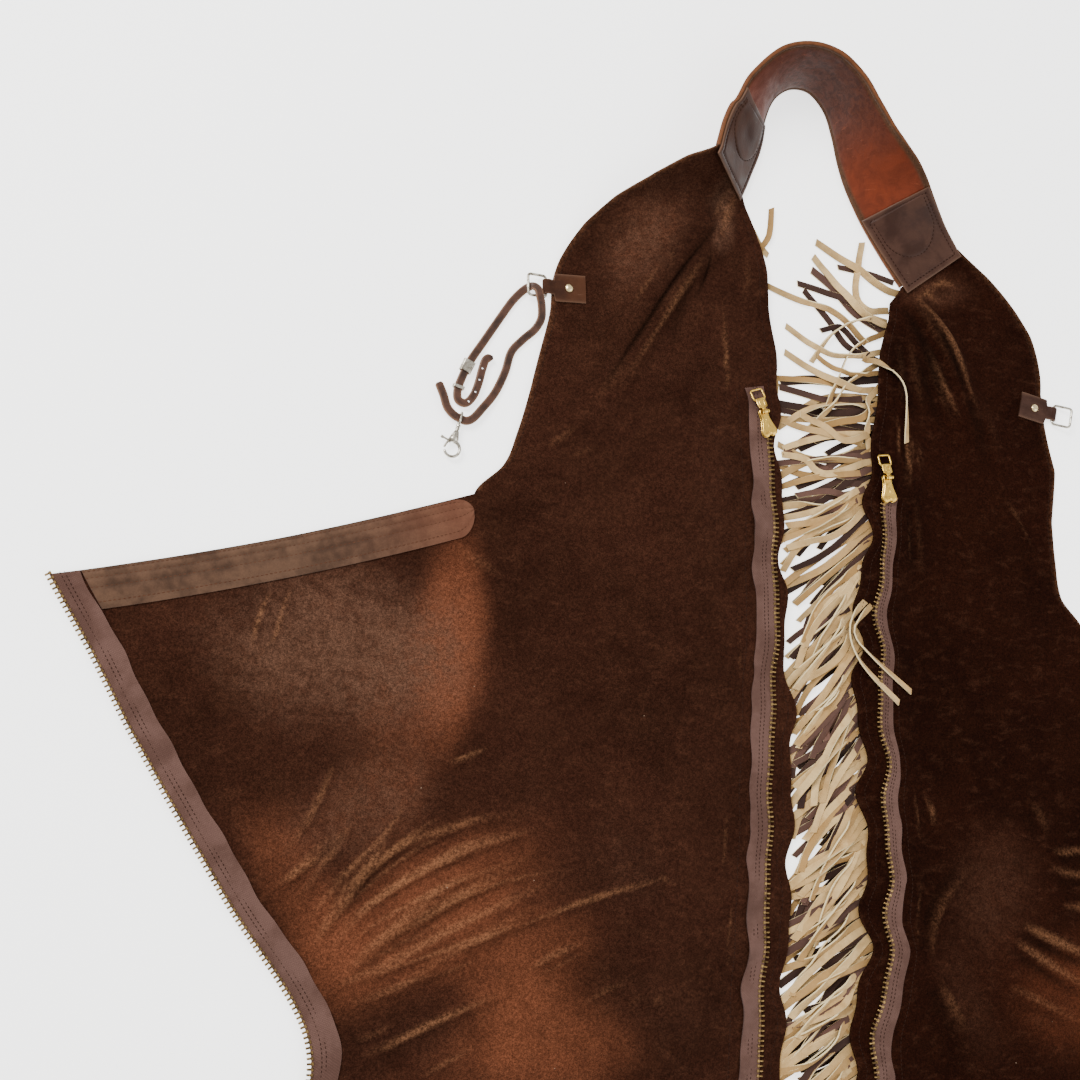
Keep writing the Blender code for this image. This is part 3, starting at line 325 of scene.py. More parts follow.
# A worn place: its middle, half length and half width, the turn of its length, and its colours
Worn = namedtuple("Worn", "x y length width turn rust grey")
WORN_PLACES = [Worn(*row) for row in (
    (-66, -62, 74, 24, 84, 0.7, 0.1), (-84, -104, 66, 42, 60, 0.4, 0.2),
    (-144, -72, 76, 56, -10, 0.15, 0.75), (-214, -88, 70, 24, -50, 0.08, 0.2),
    (-176, -232, 66, 24, -60, 0.45, 0.1), (-128, -186, 56, 34, 20, 0.35, 0.45),
    (-90, -258, 100, 42, 28, 0.75, 0.1), (-10, -284, 56, 32, 20, 0.5, 0),
    (-2, -345, 40, 66, 70, 0.6, 0), (-76, -388, 76, 46, 20, 0.4, 0.1),
    (60, -226, 46, 30, -60, 0, 0.2), (76, -334, 40, 54, 80, 0.08, 0.15),
    (92, 248, 66, 30, 42, 0.2, 0.3), (84, 214, 40, 24, 60, 0.16, 0.26),
    (153, 268, 22, 12, 80, 0, 0.6), (150, 236, 16, 10, 60, 0, 0.5),
    (48, 150, 42, 36, 70, 0.14, 0.14), (140, 60, 100, 24, 90, 0.06, 0.14),
    (20, 20, 60, 40, 30, 0.06, 0.08), (350, -262, 56, 42, 64, 0.14, 0.42),
    (322, -345, 54, 22, -60, 0.1, 0.28), (420, -352, 70, 44, -20, 0.5, 0),
    (500, -300, 80, 60, 10, 0.5, 0.1), (334, 208, 36, 18, 10, 0.2, 0.5),
    (400, 150, 50, 30, -60, 0.06, 0.1), (560, -110, 80, 60, 40, 0.4, 0.5),
    (-40, -620, 110, 60, 80, 0.3, 0.1), (430, -640, 110, 60, -80, 0.3, 0.1),
)]


def smooth(table, index):
    """Rows of a table at real indices, on smooth curves through its columns."""
    rows = np.array(table, float)
    last = len(rows) - 1
    index = np.clip(np.asarray(index, float), 0, last)
    k = np.minimum(index.astype(int), last - 1)
    t = (index - k)[..., None]
    a, b, c, d = (rows[np.clip(k + step, 0, last)] for step in (-1, 0, 1, 2))
    return b + 0.5 * t * (c - a + t * (2 * a - 5 * b + 4 * c - d + t * (3 * b - a - 3 * c + d)))


def unit(vectors):
    """The same directions with a length of one."""
    return vectors / np.linalg.norm(vectors, axis=-1, keepdims=True)


def added_up(steps):
    """Steps added up from zero, which gives how far along a line its points lie."""
    return np.concatenate([[0.0], np.cumsum(steps)])


def ripple(v, phase):
    """Two waves down a seam that do not repeat together."""
    turn = 2 * math.pi * v / RIPPLE_PITCH
    return np.sin(turn + phase) * 0.65 + np.sin(turn * 1.73 + 2.1 * phase) * 0.35


def lay_at(leg, v):
    """The columns of a leg's lay at heights v of its cut."""
    rows = np.array(leg.lay, float)[::-1]
    return Lay(v, *(np.interp(v, rows[:, 0], rows[:, k]) for k in range(1, rows.shape[1])))


def flap_width(leg, seam_v, flap):
    """How far the flap stands out past the side seam, with its ripple below the tab."""
    wave = leg.flap_ripple * ripple(seam_v, 2.4) * np.clip((40.0 - seam_v) / 40.0, 0, 1)
    return flap - lay_at(leg, seam_v).turned + wave


def cut_widths(leg, row):
    """Flap, crotch column and outer edge, as distances from the side zip, at a real row."""
    seam_v, flap, near_u, near_v = np.moveaxis(smooth(INSIDE_CUT, row), -1, 0)
    edge_u, edge_v = np.moveaxis(smooth(LEG_CUT, np.asarray(row) - THIGH_ROW), -1, 0)[2:]
    return seam_v, flap_width(leg, seam_v, flap), near_u, near_v, edge_u, edge_v


def distance_to(x, y, points):
    """Signed distance of places to a line of points, and how far along the line, from 0 to 1."""
    best = np.full(x.shape, 1e9)
    side = np.zeros(x.shape)
    along = np.zeros(x.shape)
    count = len(points) - 1
    for k in range(count):
        start, step = points[k], points[k + 1] - points[k]
        share = ((x - start[0]) * step[0] + (y - start[1]) * step[1]) / (step @ step)
        inside = np.clip(share, 0, 1)
        off_x = x - start[0] - step[0] * inside
        off_y = y - start[1] - step[1] * inside
        distance = np.hypot(off_x, off_y)
        nearer = distance < best
        best = np.where(nearer, distance, best)
        side = np.where(nearer, np.sign(step[0] * off_y - step[1] * off_x), side)
        along = np.where(nearer, (k + inside) / count, along)
    return best, side, along


def crease_marks(x, y):
    """Height, rub and shade that the creases give at places on a panel."""
    height, rub, shade = np.zeros(x.shape), np.zeros(x.shape), np.zeros(x.shape)
    for crease in CREASES:
        ends = np.array(crease[:6], float).reshape(3, 2)
        control = 2 * ends[1] - (ends[0] + ends[2]) / 2
        t = np.linspace(0, 1, 11)[:, None]
        line = (1 - t) ** 2 * ends[0] + 2 * t * (1 - t) * control + t ** 2 * ends[2]
        reach = 4.5 * crease.width
        near = ((x > line[:, 0].min() - reach) & (x < line[:, 0].max() + reach)
                & (y > line[:, 1].min() - reach) & (y < line[:, 1].max() + reach))
        if not near.any():
            continue
        distance, side, along = distance_to(x[near], y[near], line)
        flank = crease.width * (1 + crease.lean * side)
        ends_off = np.exp(-(distance / crease.width) ** 2 * ((along < 0.01) | (along > 0.99)))
        taper = np.sin(math.pi * np.clip(along, 0.02, 0.98)) ** 0.7 * ends_off
        ridge = np.exp(-(distance / flank) ** 2) * taper
        off = 0.0 if crease.height < 0 else 1.5 * crease.width
        foot = np.exp(-((distance * side + off) / crease.width) ** 2) * taper
        height[near] += crease.height * ridge
        rub[near] += crease.rub * ridge ** 1.6
        shade[near] += crease.dark * foot
    return height, rub, shade


def settle(leg, x, y, u, v, share, rise):
    """How high the underside lies, with the fringe and the large folds under it."""
    height = rise * np.maximum(0.0, (share - 0.2) / 0.8) ** 1.4
    below_belt = np.clip((FRINGE_TOP + 20.0 - v) / 20.0, 0, 1)
    height = height + OVER_FRINGE * np.clip(1.0 - (u - leg.fringe_cover) / 24.0, 0, 1) * below_belt
    for fold in FOLDS:
        step = np.array((fold.x1 - fold.x0, fold.y1 - fold.y0), float)
        along = ((x - fold.x0) * step[0] + (y - fold.y0) * step[1]) / (step @ step)
        inside = np.clip(along, 0, 1)
        off = np.hypot(x - fold.x0 - step[0] * inside, y - fold.y0 - step[1] * inside)
        taper = np.exp(-(np.maximum(0.0, np.abs(along - 0.5) - 0.3) * 4) ** 2)
        height = height + fold.height * np.exp(-(off / fold.half_width) ** 2) * taper
    return height


def undulation(x, y):
    """A slow rise and fall of cloth that does not lie dead flat."""
    lift = [0.5 + noise.noise(Vector((a, b, 0)) * 0.014)
            + 0.4 * noise.noise(Vector((a, b, 9)) * 0.034) for a, b in zip(x.ravel(), y.ravel())]
    return 1.6 * np.maximum(np.array(lift), 0.0).reshape(x.shape)


def unevenness(x, y, row):
    """What creases and undulation add, which is nothing where metal parts are fixed."""
    height = crease_marks(x, y)[0] + undulation(x, y) * np.clip((row - 1) / 1.5, 0, 1)
    for place in FLAT_PLACES:
        height = height * (1 - np.exp(-(((x - place.x) ** 2 + (y - place.y) ** 2)
                                        / place.reach ** 2) ** 2))
    return height


def on_leg(leg, row, u):
    """Places on the underside of a leg's panel, at real rows and distances u from the zip."""
    row, u = np.broadcast_arrays(np.asarray(row, float), np.asarray(u, float))
    seam_v, flap, near_u, near_v, edge_u, edge_v = cut_widths(leg, row)
    wing = np.clip((u - near_u) / np.maximum(edge_u - near_u, 1.0), 0, 1) * (row >= THIGH_ROW)
    inner_v = seam_v + (near_v - seam_v) / near_u * np.clip(u, 0, near_u)
    v = inner_v + (edge_v - near_v) * wing - 4 * THIGH_SAG * wing * (1 - wing)
    share = np.clip((u + flap) / (near_u + flap), 0, 1)
    lay = lay_at(leg, v)
    fade = np.exp(-np.maximum(u, 0.0) / RIPPLE_FADE) * np.clip((60.0 - v) / 60.0, 0, 1)
    turn = np.radians(lay.turn)
    reach = u - lay.taken * np.clip(u / TAKEN_WITHIN, 0, 1) + leg.zip_ripple * ripple(v, 0.6) * fade
    x = lay.x + leg.side * reach * np.cos(turn)
    y = lay.y + reach * np.sin(turn)
    height = settle(leg, x, y, u, v, share, lay.rise) + unevenness(x, y, row)
    return np.stack([x, y, height], axis=-1)


def row_at(v):
    """The real row whose side zip end is at height v of the cut."""
    rows = np.linspace(0, len(INSIDE_CUT) - 1, 2001)
    return np.interp(-np.asarray(v, float), -smooth(INSIDE_CUT, rows)[:, 0], rows)


def grid_normals(points):
    """The upward normal at each point of a grid."""
    down, across = np.gradient(points, axis=0), np.gradient(points, axis=1)
    normals = np.cross(across, down)
    normals /= np.maximum(np.linalg.norm(normals, axis=-1, keepdims=True), 1e-9)
    return normals * np.where(normals[..., 2:] < 0, -1.0, 1.0)


def closed_mesh(name, points, faces):
    """A mesh of points and faces, with its faces turned outwards."""
    mesh = bpy.data.meshes.new(name)
    mesh.from_pydata(points.reshape(-1, 3).tolist(), [], faces)
    bm = bmesh.new()
    bm.from_mesh(mesh)
    bmesh.ops.recalc_face_normals(bm, faces=bm.faces)
    bm.to_mesh(mesh)
    bm.free()
    return mesh


def shell(name, low, high, cells=None):
    """A closed mesh between two grids of points, in the places where cells is true."""
    rows, columns = low.shape[:2]
    cells = np.ones((rows - 1, columns - 1), bool) if cells is None else cells
    index = np.arange(rows * columns).reshape(rows, columns)
    a, b, c, d = (index[:-1, :-1][cells], index[1:, :-1][cells],
                  index[1:, 1:][cells], index[:-1, 1:][cells])
    upper = rows * columns
    faces = [np.stack([a, b, c, d], 1) + upper, np.stack([d, c, b, a], 1)]
    wide = np.pad(cells, 1)
    for lines, first, second in (
        (wide[:-1, 1:-1].astype(int) - wide[1:, 1:-1], index[:, :-1], index[:, 1:]),
        (wide[1:-1, 1:].astype(int) - wide[1:-1, :-1], index[:-1, :], index[1:, :]),
    ):
        for sign in (-1, 1):
            p, q = first[lines == sign], second[lines == sign]
            p, q = (p, q) if sign < 0 else (q, p)
            faces.append(np.stack([p, q, q + upper, p + upper], 1))
    faces = np.concatenate(faces)
    used, faces = np.unique(faces, return_inverse=True)
    points = np.concatenate([low.reshape(-1, 3), high.reshape(-1, 3)])[used]
    return closed_mesh(name, points, faces.reshape(-1, 4).tolist()), used % upper


def add_values(mesh, domain="POINT", **named):
    """Named values for a mesh's points or faces, which its material reads."""
    for name, values in named.items():
        kind = "FLOAT" if values.ndim == 1 else "FLOAT_VECTOR"
        layer = mesh.attributes.new(name, kind, domain)
        layer.data.foreach_set("value" if values.ndim == 1 else "vector",
                               np.ascontiguousarray(values, np.float32).ravel())


def add_piece(name, mesh, finish=None, body="garment", replaces=(), sharp=50):
    """A finished mesh in millimetres becomes a piece of the garment, at its place in metres."""
    mesh.transform(TO_WORLD)
    if finish:
        mesh.materials.clear()
        mesh.materials.append(finish)
    mesh.shade_smooth()
    mesh.set_sharp_from_angle(angle=math.radians(sharp))
    piece = bpy.data.objects.new(name, mesh)
    bpy.context.scene.collection.objects.link(piece)
    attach(piece, body)
    if replaces:
        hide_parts(*replaces)
    return piece


def add(tree, kind, inputs, **settings):
    """A node with its inputs set or linked."""
    made = tree.nodes.new(kind)
    for key, value in settings.items():
        setattr(made, key, value)
    for key, value in inputs.items():
        if isinstance(value, bpy.types.NodeSocket):
            tree.links.new(value, made.inputs[key])
        else:
            made.inputs[key].default_value = value
    return made


def place_on(tree, stretch=(1, 1, 1), turn=0.0):
    """Object coordinates in metres, turned about Z and stretched."""
    where = add(tree, "ShaderNodeTexCoord", {}).outputs["Object"]
    return add(tree, "ShaderNodeMapping", {"Vector": where, "Scale": stretch,
               "Rotation": (0, 0, math.radians(turn))}).outputs["Vector"]


def cloudy(tree, where, scale, detail=3.0, roughness=0.55, distortion=0.0):
    """Even noise around one half; scale is in features to a metre."""
    return add(tree, "ShaderNodeTexNoise", {
        "Vector": where, "Scale": scale, "Detail": detail, "Roughness": roughness,
        "Distortion": distortion}).outputs["Fac"]


def stored(tree, name):
    """A value that the mesh carries under a name."""
    return add(tree, "ShaderNodeAttribute", {}, attribute_name=name).outputs["Fac"]


def maths(tree, operation, a, b=0.5, clamp=False):
    return add(tree, "ShaderNodeMath", {0: a, 1: b}, operation=operation,
               use_clamp=clamp).outputs[0]


def spread(tree, value, low, high, to_low=0.0, to_high=1.0):
    """A value between low and high spread out to a new range, held at its ends."""
    return add(tree, "ShaderNodeMapRange", {"Value": value, 1: low, 2: high, 3: to_low,
               4: to_high}, clamp=True, interpolation_type="SMOOTHSTEP").outputs[0]


def mix(tree, share, a, b, blend="MIX"):
    return add(tree, "ShaderNodeMix", {0: share, 6: a, 7: b}, data_type="RGBA",
               blend_type=blend).outputs[2]


def grey(value):
    return (value, value, value, 1.0)


def tinted(tree, color, share, dark, pale):
    """A colour multiplied by a grey that goes from dark to pale with share."""
    return mix(tree, 1.0, color, mix(tree, share, grey(dark), grey(pale)), "MULTIPLY")


def dented(tree, *layers):
    """Bumps laid over each other, each a height, a strength and a depth in metres."""
    normal = None
    for height, strength, depth in layers:
        inputs = {"Height": height, "Strength": strength, "Distance": depth}
        if normal:
            inputs["Normal"] = normal
        normal = add(tree, "ShaderNodeBump", inputs).outputs["Normal"]
    return normal


def dress(tree, shader, color, *layers, **links):
    """Links a colour, bumps and other values to a shader."""
    tree.links.new(color, shader.inputs["Base Color"])
    tree.links.new(dented(tree, *layers), shader.inputs["Normal"])
    for socket, value in links.items():
        tree.links.new(value, shader.inputs[socket])


def suede_finish():
    made, tree, shader = new_finish("suede", 0.95, sheen=0.03, specular=0.03)
    shader.inputs["Sheen Roughness"].default_value = 0.45
    shader.inputs["Sheen Tint"].default_value = srgb(140, 84, 54)
    where = place_on(tree)
    broad = cloudy(tree, where, 9, 4, 0.6, 0.4)
    patchy = cloudy(tree, where, 42, 5, 0.6, 0.6)
    fine = cloudy(tree, where, 120, 4, 0.65, 0.3)
    nap = cloudy(tree, where, 420, 4, 0.7)
    brushed = cloudy(tree, place_on(tree, (1, 2, 1), -30), 80, 4, 0.6, 0.4)
    grain = cloudy(tree, where, 1100, 2, 0.7)
    color = mix(tree, spread(tree, broad, 0.36, 0.64), srgb(35, 17, 10), srgb(44, 23, 15))
    color = mix(tree, spread(tree, patchy, 0.36, 0.72, 0, 0.3), color, srgb(56, 33, 22))
    rough = maths(tree, "ADD", maths(tree, "MULTIPLY", patchy, 0.9), 0.5)
    rust = maths(tree, "MULTIPLY", stored(tree, "rust"), rough)
    color = mix(tree, spread(tree, rust, 0.03, 1.0), color, srgb(95, 54, 36))
    grey_share = maths(tree, "MULTIPLY", stored(tree, "grey"),
                       spread(tree, fine, 0.3, 0.66, 0.75, 1.35))
    color = mix(tree, spread(tree, grey_share, 0.03, 1.2), color, srgb(80, 55, 42))
    deep = mix(tree, stored(tree, "deep"), grey(1.0), (0.5, 0.38, 0.32, 1.0))
    color = mix(tree, 1.0, color, deep, "MULTIPLY")
    color = mix(tree, spread(tree, brushed, 0.5, 0.72, 0, 0.12), color, srgb(86, 54, 38))
    rubbed = maths(tree, "MULTIPLY", stored(tree, "rub"), spread(tree, nap, 0.3, 0.62, 0.6, 1.15))
    color = mix(tree, spread(tree, rubbed, 0.05, 1.2, 0, 0.52), color, srgb(122, 84, 58))
    color = mix(tree, spread(tree, stored(tree, "shade"), 0.0, 1.3, 0, 0.8), color,
                srgb(14, 6, 3))
    color = tinted(tree, color, spread(tree, grain, 0.3, 0.7), 0.62, 1.4)
    color = tinted(tree, color, spread(tree, nap, 0.34, 0.66), 0.74, 1.27)
    lint = add(tree, "ShaderNodeTexVoronoi", {"Vector": where, "Scale": 34.0, "Randomness": 1.0})
    dust = maths(tree, "LESS_THAN", lint.outputs["Distance"], 0.016)
    color = mix(tree, maths(tree, "MULTIPLY", dust, 0.55), color, srgb(150, 128, 108))
    dress(tree, shader, color, (patchy, 0.25, 0.0016), (nap, 0.5, 0.0007), (grain, 0.6, 0.0003))
    return made


SUEDE_FINISH = suede_finish()
BELT_LENGTH = sum(math.dist(a[:2], b[:2]) for a, b in zip(BELT_LINE, BELT_LINE[1:]))


def belt_frame(distance):
    """Points on the belt's lower edge, headings, directions across, and face normals."""
    stations = np.array(BELT_LINE, float)
    steps = np.hypot(*np.diff(stations[:, :2], axis=0).T)
    lengths = added_up(steps)
    distance = np.asarray(distance, float)
    index = np.interp(distance, lengths, np.arange(len(lengths)))
    here, ahead, behind = (smooth(BELT_LINE, index + step) for step in (0, 0.15, -0.15))
    heading = np.zeros(distance.shape + (3,))
    heading[..., :2] = (ahead - behind)[..., :2]
    heading = unit(heading)
    outward = np.stack([-heading[..., 1], heading[..., 0], heading[..., 2]], -1)
    tilt = np.radians(here[..., 2:])
    up = np.array((0.0, 0.0, 1.0))
    across = outward * np.cos(tilt) + up * np.sin(tilt)
    normal = up * np.cos(tilt) - outward * np.sin(tilt)
    point = np.zeros(distance.shape + (3,))
    point[..., :2] = here[..., :2]
    beyond = distance - np.clip(distance, 0, lengths[-1])
    return point + heading * beyond[..., None], heading, across, normal


def belt_joint(leg, share):
    """The top row of a panel, which butts on the belt's end, and the way on into the belt."""
    at_start = leg.side < 0
    point, heading, across, normal = belt_frame(0.0 if at_start else BELT_LENGTH)
    into_belt = heading if at_start else -heading
    base = point - into_belt * 2 * GAP + normal * (BELT - SUEDE - 0.4)
    return base + across * BELT_WIDTH * share[:, None], into_belt, normal


# The pitch of a panel's rows of points where it is creased, down to row CREASED_TO of the cut, and
# below that. A line that is sewn on needs points at SEWN_PITCH
ROW_PITCH, LOW_ROW_PITCH, SEWN_PITCH = 2.3, 6.0, 3.25
CREASED_TO = 16.6
NEAR_COLUMNS, WING_COLUMNS, JOINT_ROWS = 62, 92, 6
INTO_BELT = 14.0
SEAM_RUB, FLAP_RUB, BORDER_RUB = 1.1, 0.35, 0.6


def even_rows(first, last, pitch=SEWN_PITCH):
    """Real rows from first to last, evenly spaced on the cloth."""
    rows = np.linspace(first, last, 1500)
    heights = smooth(INSIDE_CUT, rows)
    seam_steps = np.abs(np.diff(heights[:, 0]))
    edge_steps = np.hypot(np.diff(heights[:, 2]), np.diff(heights[:, 3]))
    lengths = added_up((seam_steps + edge_steps) / 2)
    return np.interp(np.linspace(0, lengths[-1], int(lengths[-1] / pitch) + 1), lengths, rows)


# How much darker a leg's brown is made, from 0 to 1: the right leg's is darker all over
DEEPER = {"left": 0.0, "right": 1.0}


def worn_marks(x, y):
    """How rust brown and how grey the worn places are."""
    rust, pale = np.zeros(x.shape), np.zeros(x.shape)
    for worn in WORN_PLACES:
        turn = math.radians(worn.turn)
        along = (x - worn.x) * math.cos(turn) + (y - worn.y) * math.sin(turn)
        aside = (y - worn.y) * math.cos(turn) - (x - worn.x) * math.sin(turn)
        amount = np.exp(-((along / worn.length) ** 2 + (aside / worn.width) ** 2) ** 1.5)
        rust += worn.rust * amount
        pale += worn.grey * amount
    return rust, pale


def leg_mesh(leg):
    """A panel of suede with the rows at its top that lead into the belt."""
    above = even_rows(1, THIGH_ROW, ROW_PITCH)
    creased = even_rows(THIGH_ROW, CREASED_TO, ROW_PITCH)[1:]
    plain = even_rows(CREASED_TO, len(INSIDE_CUT) - 1, LOW_ROW_PITCH)[1:]
    rows = np.concatenate([above, creased, plain])
    first_wing = len(above) - 1
    share = np.linspace(0, 1, NEAR_COLUMNS + 1)
    wing = np.linspace(0, 1, WING_COLUMNS + 1)[1:]
    _, flap, near_u, _, edge_u, _ = cut_widths(leg, rows)
    near = -flap[:, None] + share * (near_u + flap)[:, None]
    far = near_u[:, None] + wing * (edge_u - near_u)[:, None]
    u = np.concatenate([near, far], axis=1)
    points = on_leg(leg, rows[:, None], u)
    top, into_belt, normal = belt_joint(leg, share)
    joint = np.repeat(points[:1], JOINT_ROWS, axis=0)
    narrow = slice(NEAR_COLUMNS + 1)
    controls = np.stack([top + into_belt * INTO_BELT, top, points[0, narrow], points[4, narrow]])
    for k in range(JOINT_ROWS):
        joint[k, narrow] = smooth(controls.reshape(4, -1), 1 + k / JOINT_ROWS).reshape(-1, 3)
    points = np.concatenate([joint, points])
    first_wing += JOINT_ROWS
    x, y = points.reshape(-1, 3)[:, :2].T.copy()
    normals = grid_normals(points)
    normals[:, narrow] = grid_normals(points[:, narrow])
    normals[first_wing:] = grid_normals(points[first_wing:])
    normals[0, narrow] = normal
    points[..., 2] = np.maximum(points[..., 2], 0.0)
    cells = np.ones((points.shape[0] - 1, points.shape[1] - 1), bool)
    cells[:first_wing, NEAR_COLUMNS:] = False
    mesh, kept = shell("suede_" + leg.name, points, points + normals * SUEDE, cells)
    _, rub, shade = crease_marks(x, y)
    rust, pale = worn_marks(x, y)
    border = np.zeros(points.shape[:2])
    by_seam = SEAM_RUB * np.exp((u - near_u[:, None]) / 3.6)
    border[JOINT_ROWS:first_wing] += by_seam[:first_wing - JOINT_ROWS]
    border[JOINT_ROWS:] += FLAP_RUB * np.exp(-(u + flap[:, None]) / 2.0)
    border[:JOINT_ROWS] = border[JOINT_ROWS] * 0.8
    rub = rub + BORDER_RUB * np.clip(border, 0, 1).ravel()
    deep = np.full(x.shape, DEEPER[leg.name]) * (1 - 0.6 * np.clip(rust + pale, 0, 1))
    add_values(mesh, rub=rub[kept], shade=shade[kept], rust=rust[kept], grey=pale[kept],
               deep=deep[kept])
    return mesh


for leg in (LEFT, RIGHT):
    add_piece("suede_leg_" + leg.name, leg_mesh(leg), SUEDE_FINISH,
                                 replaces=["leg_panel_" + leg.name])


# --- stitches -----------------------------------------------------------------------------------
# Every seam is sewn with thick dark thread, about eight stitches to the inch. One small bead stands
# for a stitch, and Geometry Nodes set it along lines that carry their own upward direction.

STITCH_PITCH, STITCH_LENGTH, THREAD = 3.1, 2.3, 0.75


def along_lines_tree():
    """A node tree that sets a piece along lines at an even pitch, turned with the line."""
    tree = bpy.data.node_groups.new("set_along_lines", "GeometryNodeTree")
    sockets = (("Geometry", "NodeSocketGeometry"), ("Piece", "NodeSocketObject"),
               ("Pitch", "NodeSocketFloat"), ("Finish", "NodeSocketMaterial"))
    for name, kind in sockets:
        tree.interface.new_socket(name, in_out="INPUT", socket_type=kind)
    tree.interface.new_socket("Geometry", in_out="OUTPUT", socket_type="NodeSocketGeometry")
    given = add(tree, "NodeGroupInput", {}).outputs
    line = add(tree, "GeometryNodeMeshToCurve", {"Mesh": given["Geometry"]}).outputs["Curve"]
    spaced = add(tree, "GeometryNodeResampleCurve", {"Curve": line, "Length": given["Pitch"]},
                 mode="LENGTH").outputs["Curve"]
    up = add(tree, "GeometryNodeInputNamedAttribute", {"Name": "up"}, data_type="FLOAT_VECTOR")
    ahead = add(tree, "GeometryNodeInputTangent", {}).outputs["Tangent"]
    turn = add(tree, "FunctionNodeAxesToRotation", {0: up.outputs["Attribute"], 1: ahead},
               primary_axis="Z", secondary_axis="X").outputs["Rotation"]
    shape = add(tree, "GeometryNodeObjectInfo", {"Object": given["Piece"]}).outputs["Geometry"]
    copies = add(tree, "GeometryNodeInstanceOnPoints", {"Points": spaced, "Instance": shape,
                 "Rotation": turn}).outputs["Instances"]
    whole = add(tree, "GeometryNodeRealizeInstances", {"Geometry": copies}).outputs["Geometry"]
    dressed = add(tree, "GeometryNodeSetMaterial", {"Geometry": whole,
                  "Material": given["Finish"]}).outputs["Geometry"]
    add(tree, "NodeGroupOutput", {"Geometry": dressed})
    return tree


ALONG_LINES = along_lines_tree()


def add_along(name, lines, small_mesh, pitch, finish, sharp=50):
    """A piece of copies of a small mesh along lines, each line given as (points, ups)."""
    points = np.concatenate([line[0] for line in lines])
    ups = np.concatenate([line[1] for line in lines])
    edges, start = [], 0
    for line in lines:
        edges += [(start + k, start + k + 1) for k in range(len(line[0]) - 1)]
        start += len(line[0])
    mesh = bpy.data.meshes.new(name + "_lines")
    mesh.from_pydata(points.tolist(), edges, [])
    add_values(mesh, up=ups)
    holder = bpy.data.objects.new(name + "_lines", mesh)
    small = bpy.data.objects.new(name + "_one", small_mesh)
    bpy.context.scene.collection.objects.link(holder)
    modifier = holder.modifiers.new("set_along_lines", "NODES")
    modifier.node_group = ALONG_LINES
    for socket in ALONG_LINES.interface.items_tree:
        value = {"Piece": small, "Pitch": pitch, "Finish": finish}.get(socket.name)
        if value is not None and socket.in_out == "INPUT":
            modifier[socket.identifier] = value
    evaluated = holder.evaluated_get(bpy.context.evaluated_depsgraph_get())
    made = bpy.data.meshes.new_from_object(evaluated)
    made.name = name
    bpy.data.objects.remove(holder)
    bpy.data.objects.remove(small)
    return add_piece(name, made, sharp=sharp)


def mesh_from(name, bm):
    """A new mesh of what a bmesh holds, and the bmesh is freed."""
    mesh = bpy.data.meshes.new(name)
    bm.to_mesh(mesh)
    bm.free()
    return mesh


def bead(length, width, height, sides=6):
    """A small rounded bar along X, such as one stitch."""
    bm = bmesh.new()
    bmesh.ops.create_uvsphere(bm, u_segments=sides, v_segments=4, radius=0.5,
                              matrix=Matrix.Rotation(math.radians(90), 4, "Y"))
    bmesh.ops.scale(bm, vec=(length, width, height), verts=bm.verts)
    return mesh_from("bead", bm)


def thread_finish(name, color):
    made, tree, shader = new_finish(name, 0.85, specular=0.08)
    tone = cloudy(tree, place_on(tree), 900, 2)
    tree.links.new(mix(tree, tone, color, srgb(20, 12, 10)), shader.inputs["Base Color"])
    return made


DARK_THREAD = thread_finish("dark_thread", srgb(52, 30, 20))
BROWN_THREAD = thread_finish("brown_thread", srgb(104, 66, 46))
STITCH = bead(STITCH_LENGTH, THREAD, THREAD * 0.8)


def leg_line(leg, row, u, lift):
    """A line over a leg's panel, raised from its upper face by lift, with its upward directions."""
    row, u = np.broadcast_arrays(np.asarray(row, float), np.asarray(u, float))
    here = on_leg(leg, row, u)
    ahead = on_leg(leg, row + 0.02, u) - here
    across = on_leg(leg, row, u + 1.5) - here
    up = unit(np.cross(ahead, across))
    up *= np.where(up[..., 2:] < 0, -1.0, 1.0)
    return here + up * (SUEDE + lift), up


# The heights of the cut at which a side zip's tape and its teeth start
ZipTop = namedtuple("ZipTop", "tape teeth")
ZIP_TOPS = {"left": ZipTop(1.5, -38.0), "right": ZipTop(-11.0, -19.5)}
# How far in from an edge each seam lies: the zip's, from its teeth, the flap's, and the crotch's
ZIP_SEAM, FLAP_SEAM, CROTCH_SEAM = 22.5, 7.0, 4.5
with_panel = {"left": [], "right": []}
for leg in (LEFT, RIGHT):
    rows = even_rows(1.6, len(INSIDE_CUT) - 1)[::2]
    _, flap, near_u = cut_widths(leg, rows)[:3]
    zip_rows = rows[rows >= row_at(ZIP_TOPS[leg.name].tape)]
    edge_rows = rows[rows < THIGH_ROW - 0.2]
    lines = [leg_line(leg, rows, FLAP_SEAM - flap, 0.0), leg_line(leg, zip_rows, ZIP_SEAM, 0.0),
             leg_line(leg, edge_rows, near_u[:len(edge_rows)] - CROTCH_SEAM, 0.0)]
    with_panel[leg.name].append(add_along("panel_stitches_" + leg.name, lines, STITCH,
                                          STITCH_PITCH, DARK_THREAD))


# --- the thigh facings --------------------------------------------------------------------------
# A band of thin leather turned over the top edge of each thigh and sewn down flat with four rows
# of stitching, which pucker it. Its end at the crotch is rounded.

FACING, FACING_END, FACING_ROWS = 1.0, 15.0, (-0.82, -0.28, 0.26, 0.8)
FACING_MIDDLE, FACING_HALF = THIGH_ROW + 0.5, 0.47
PUCKER, PUCKER_PITCH, SEWN_HALF = 0.75, 8.5, 0.09
BACK_TAPE_WIDTH = 17.0


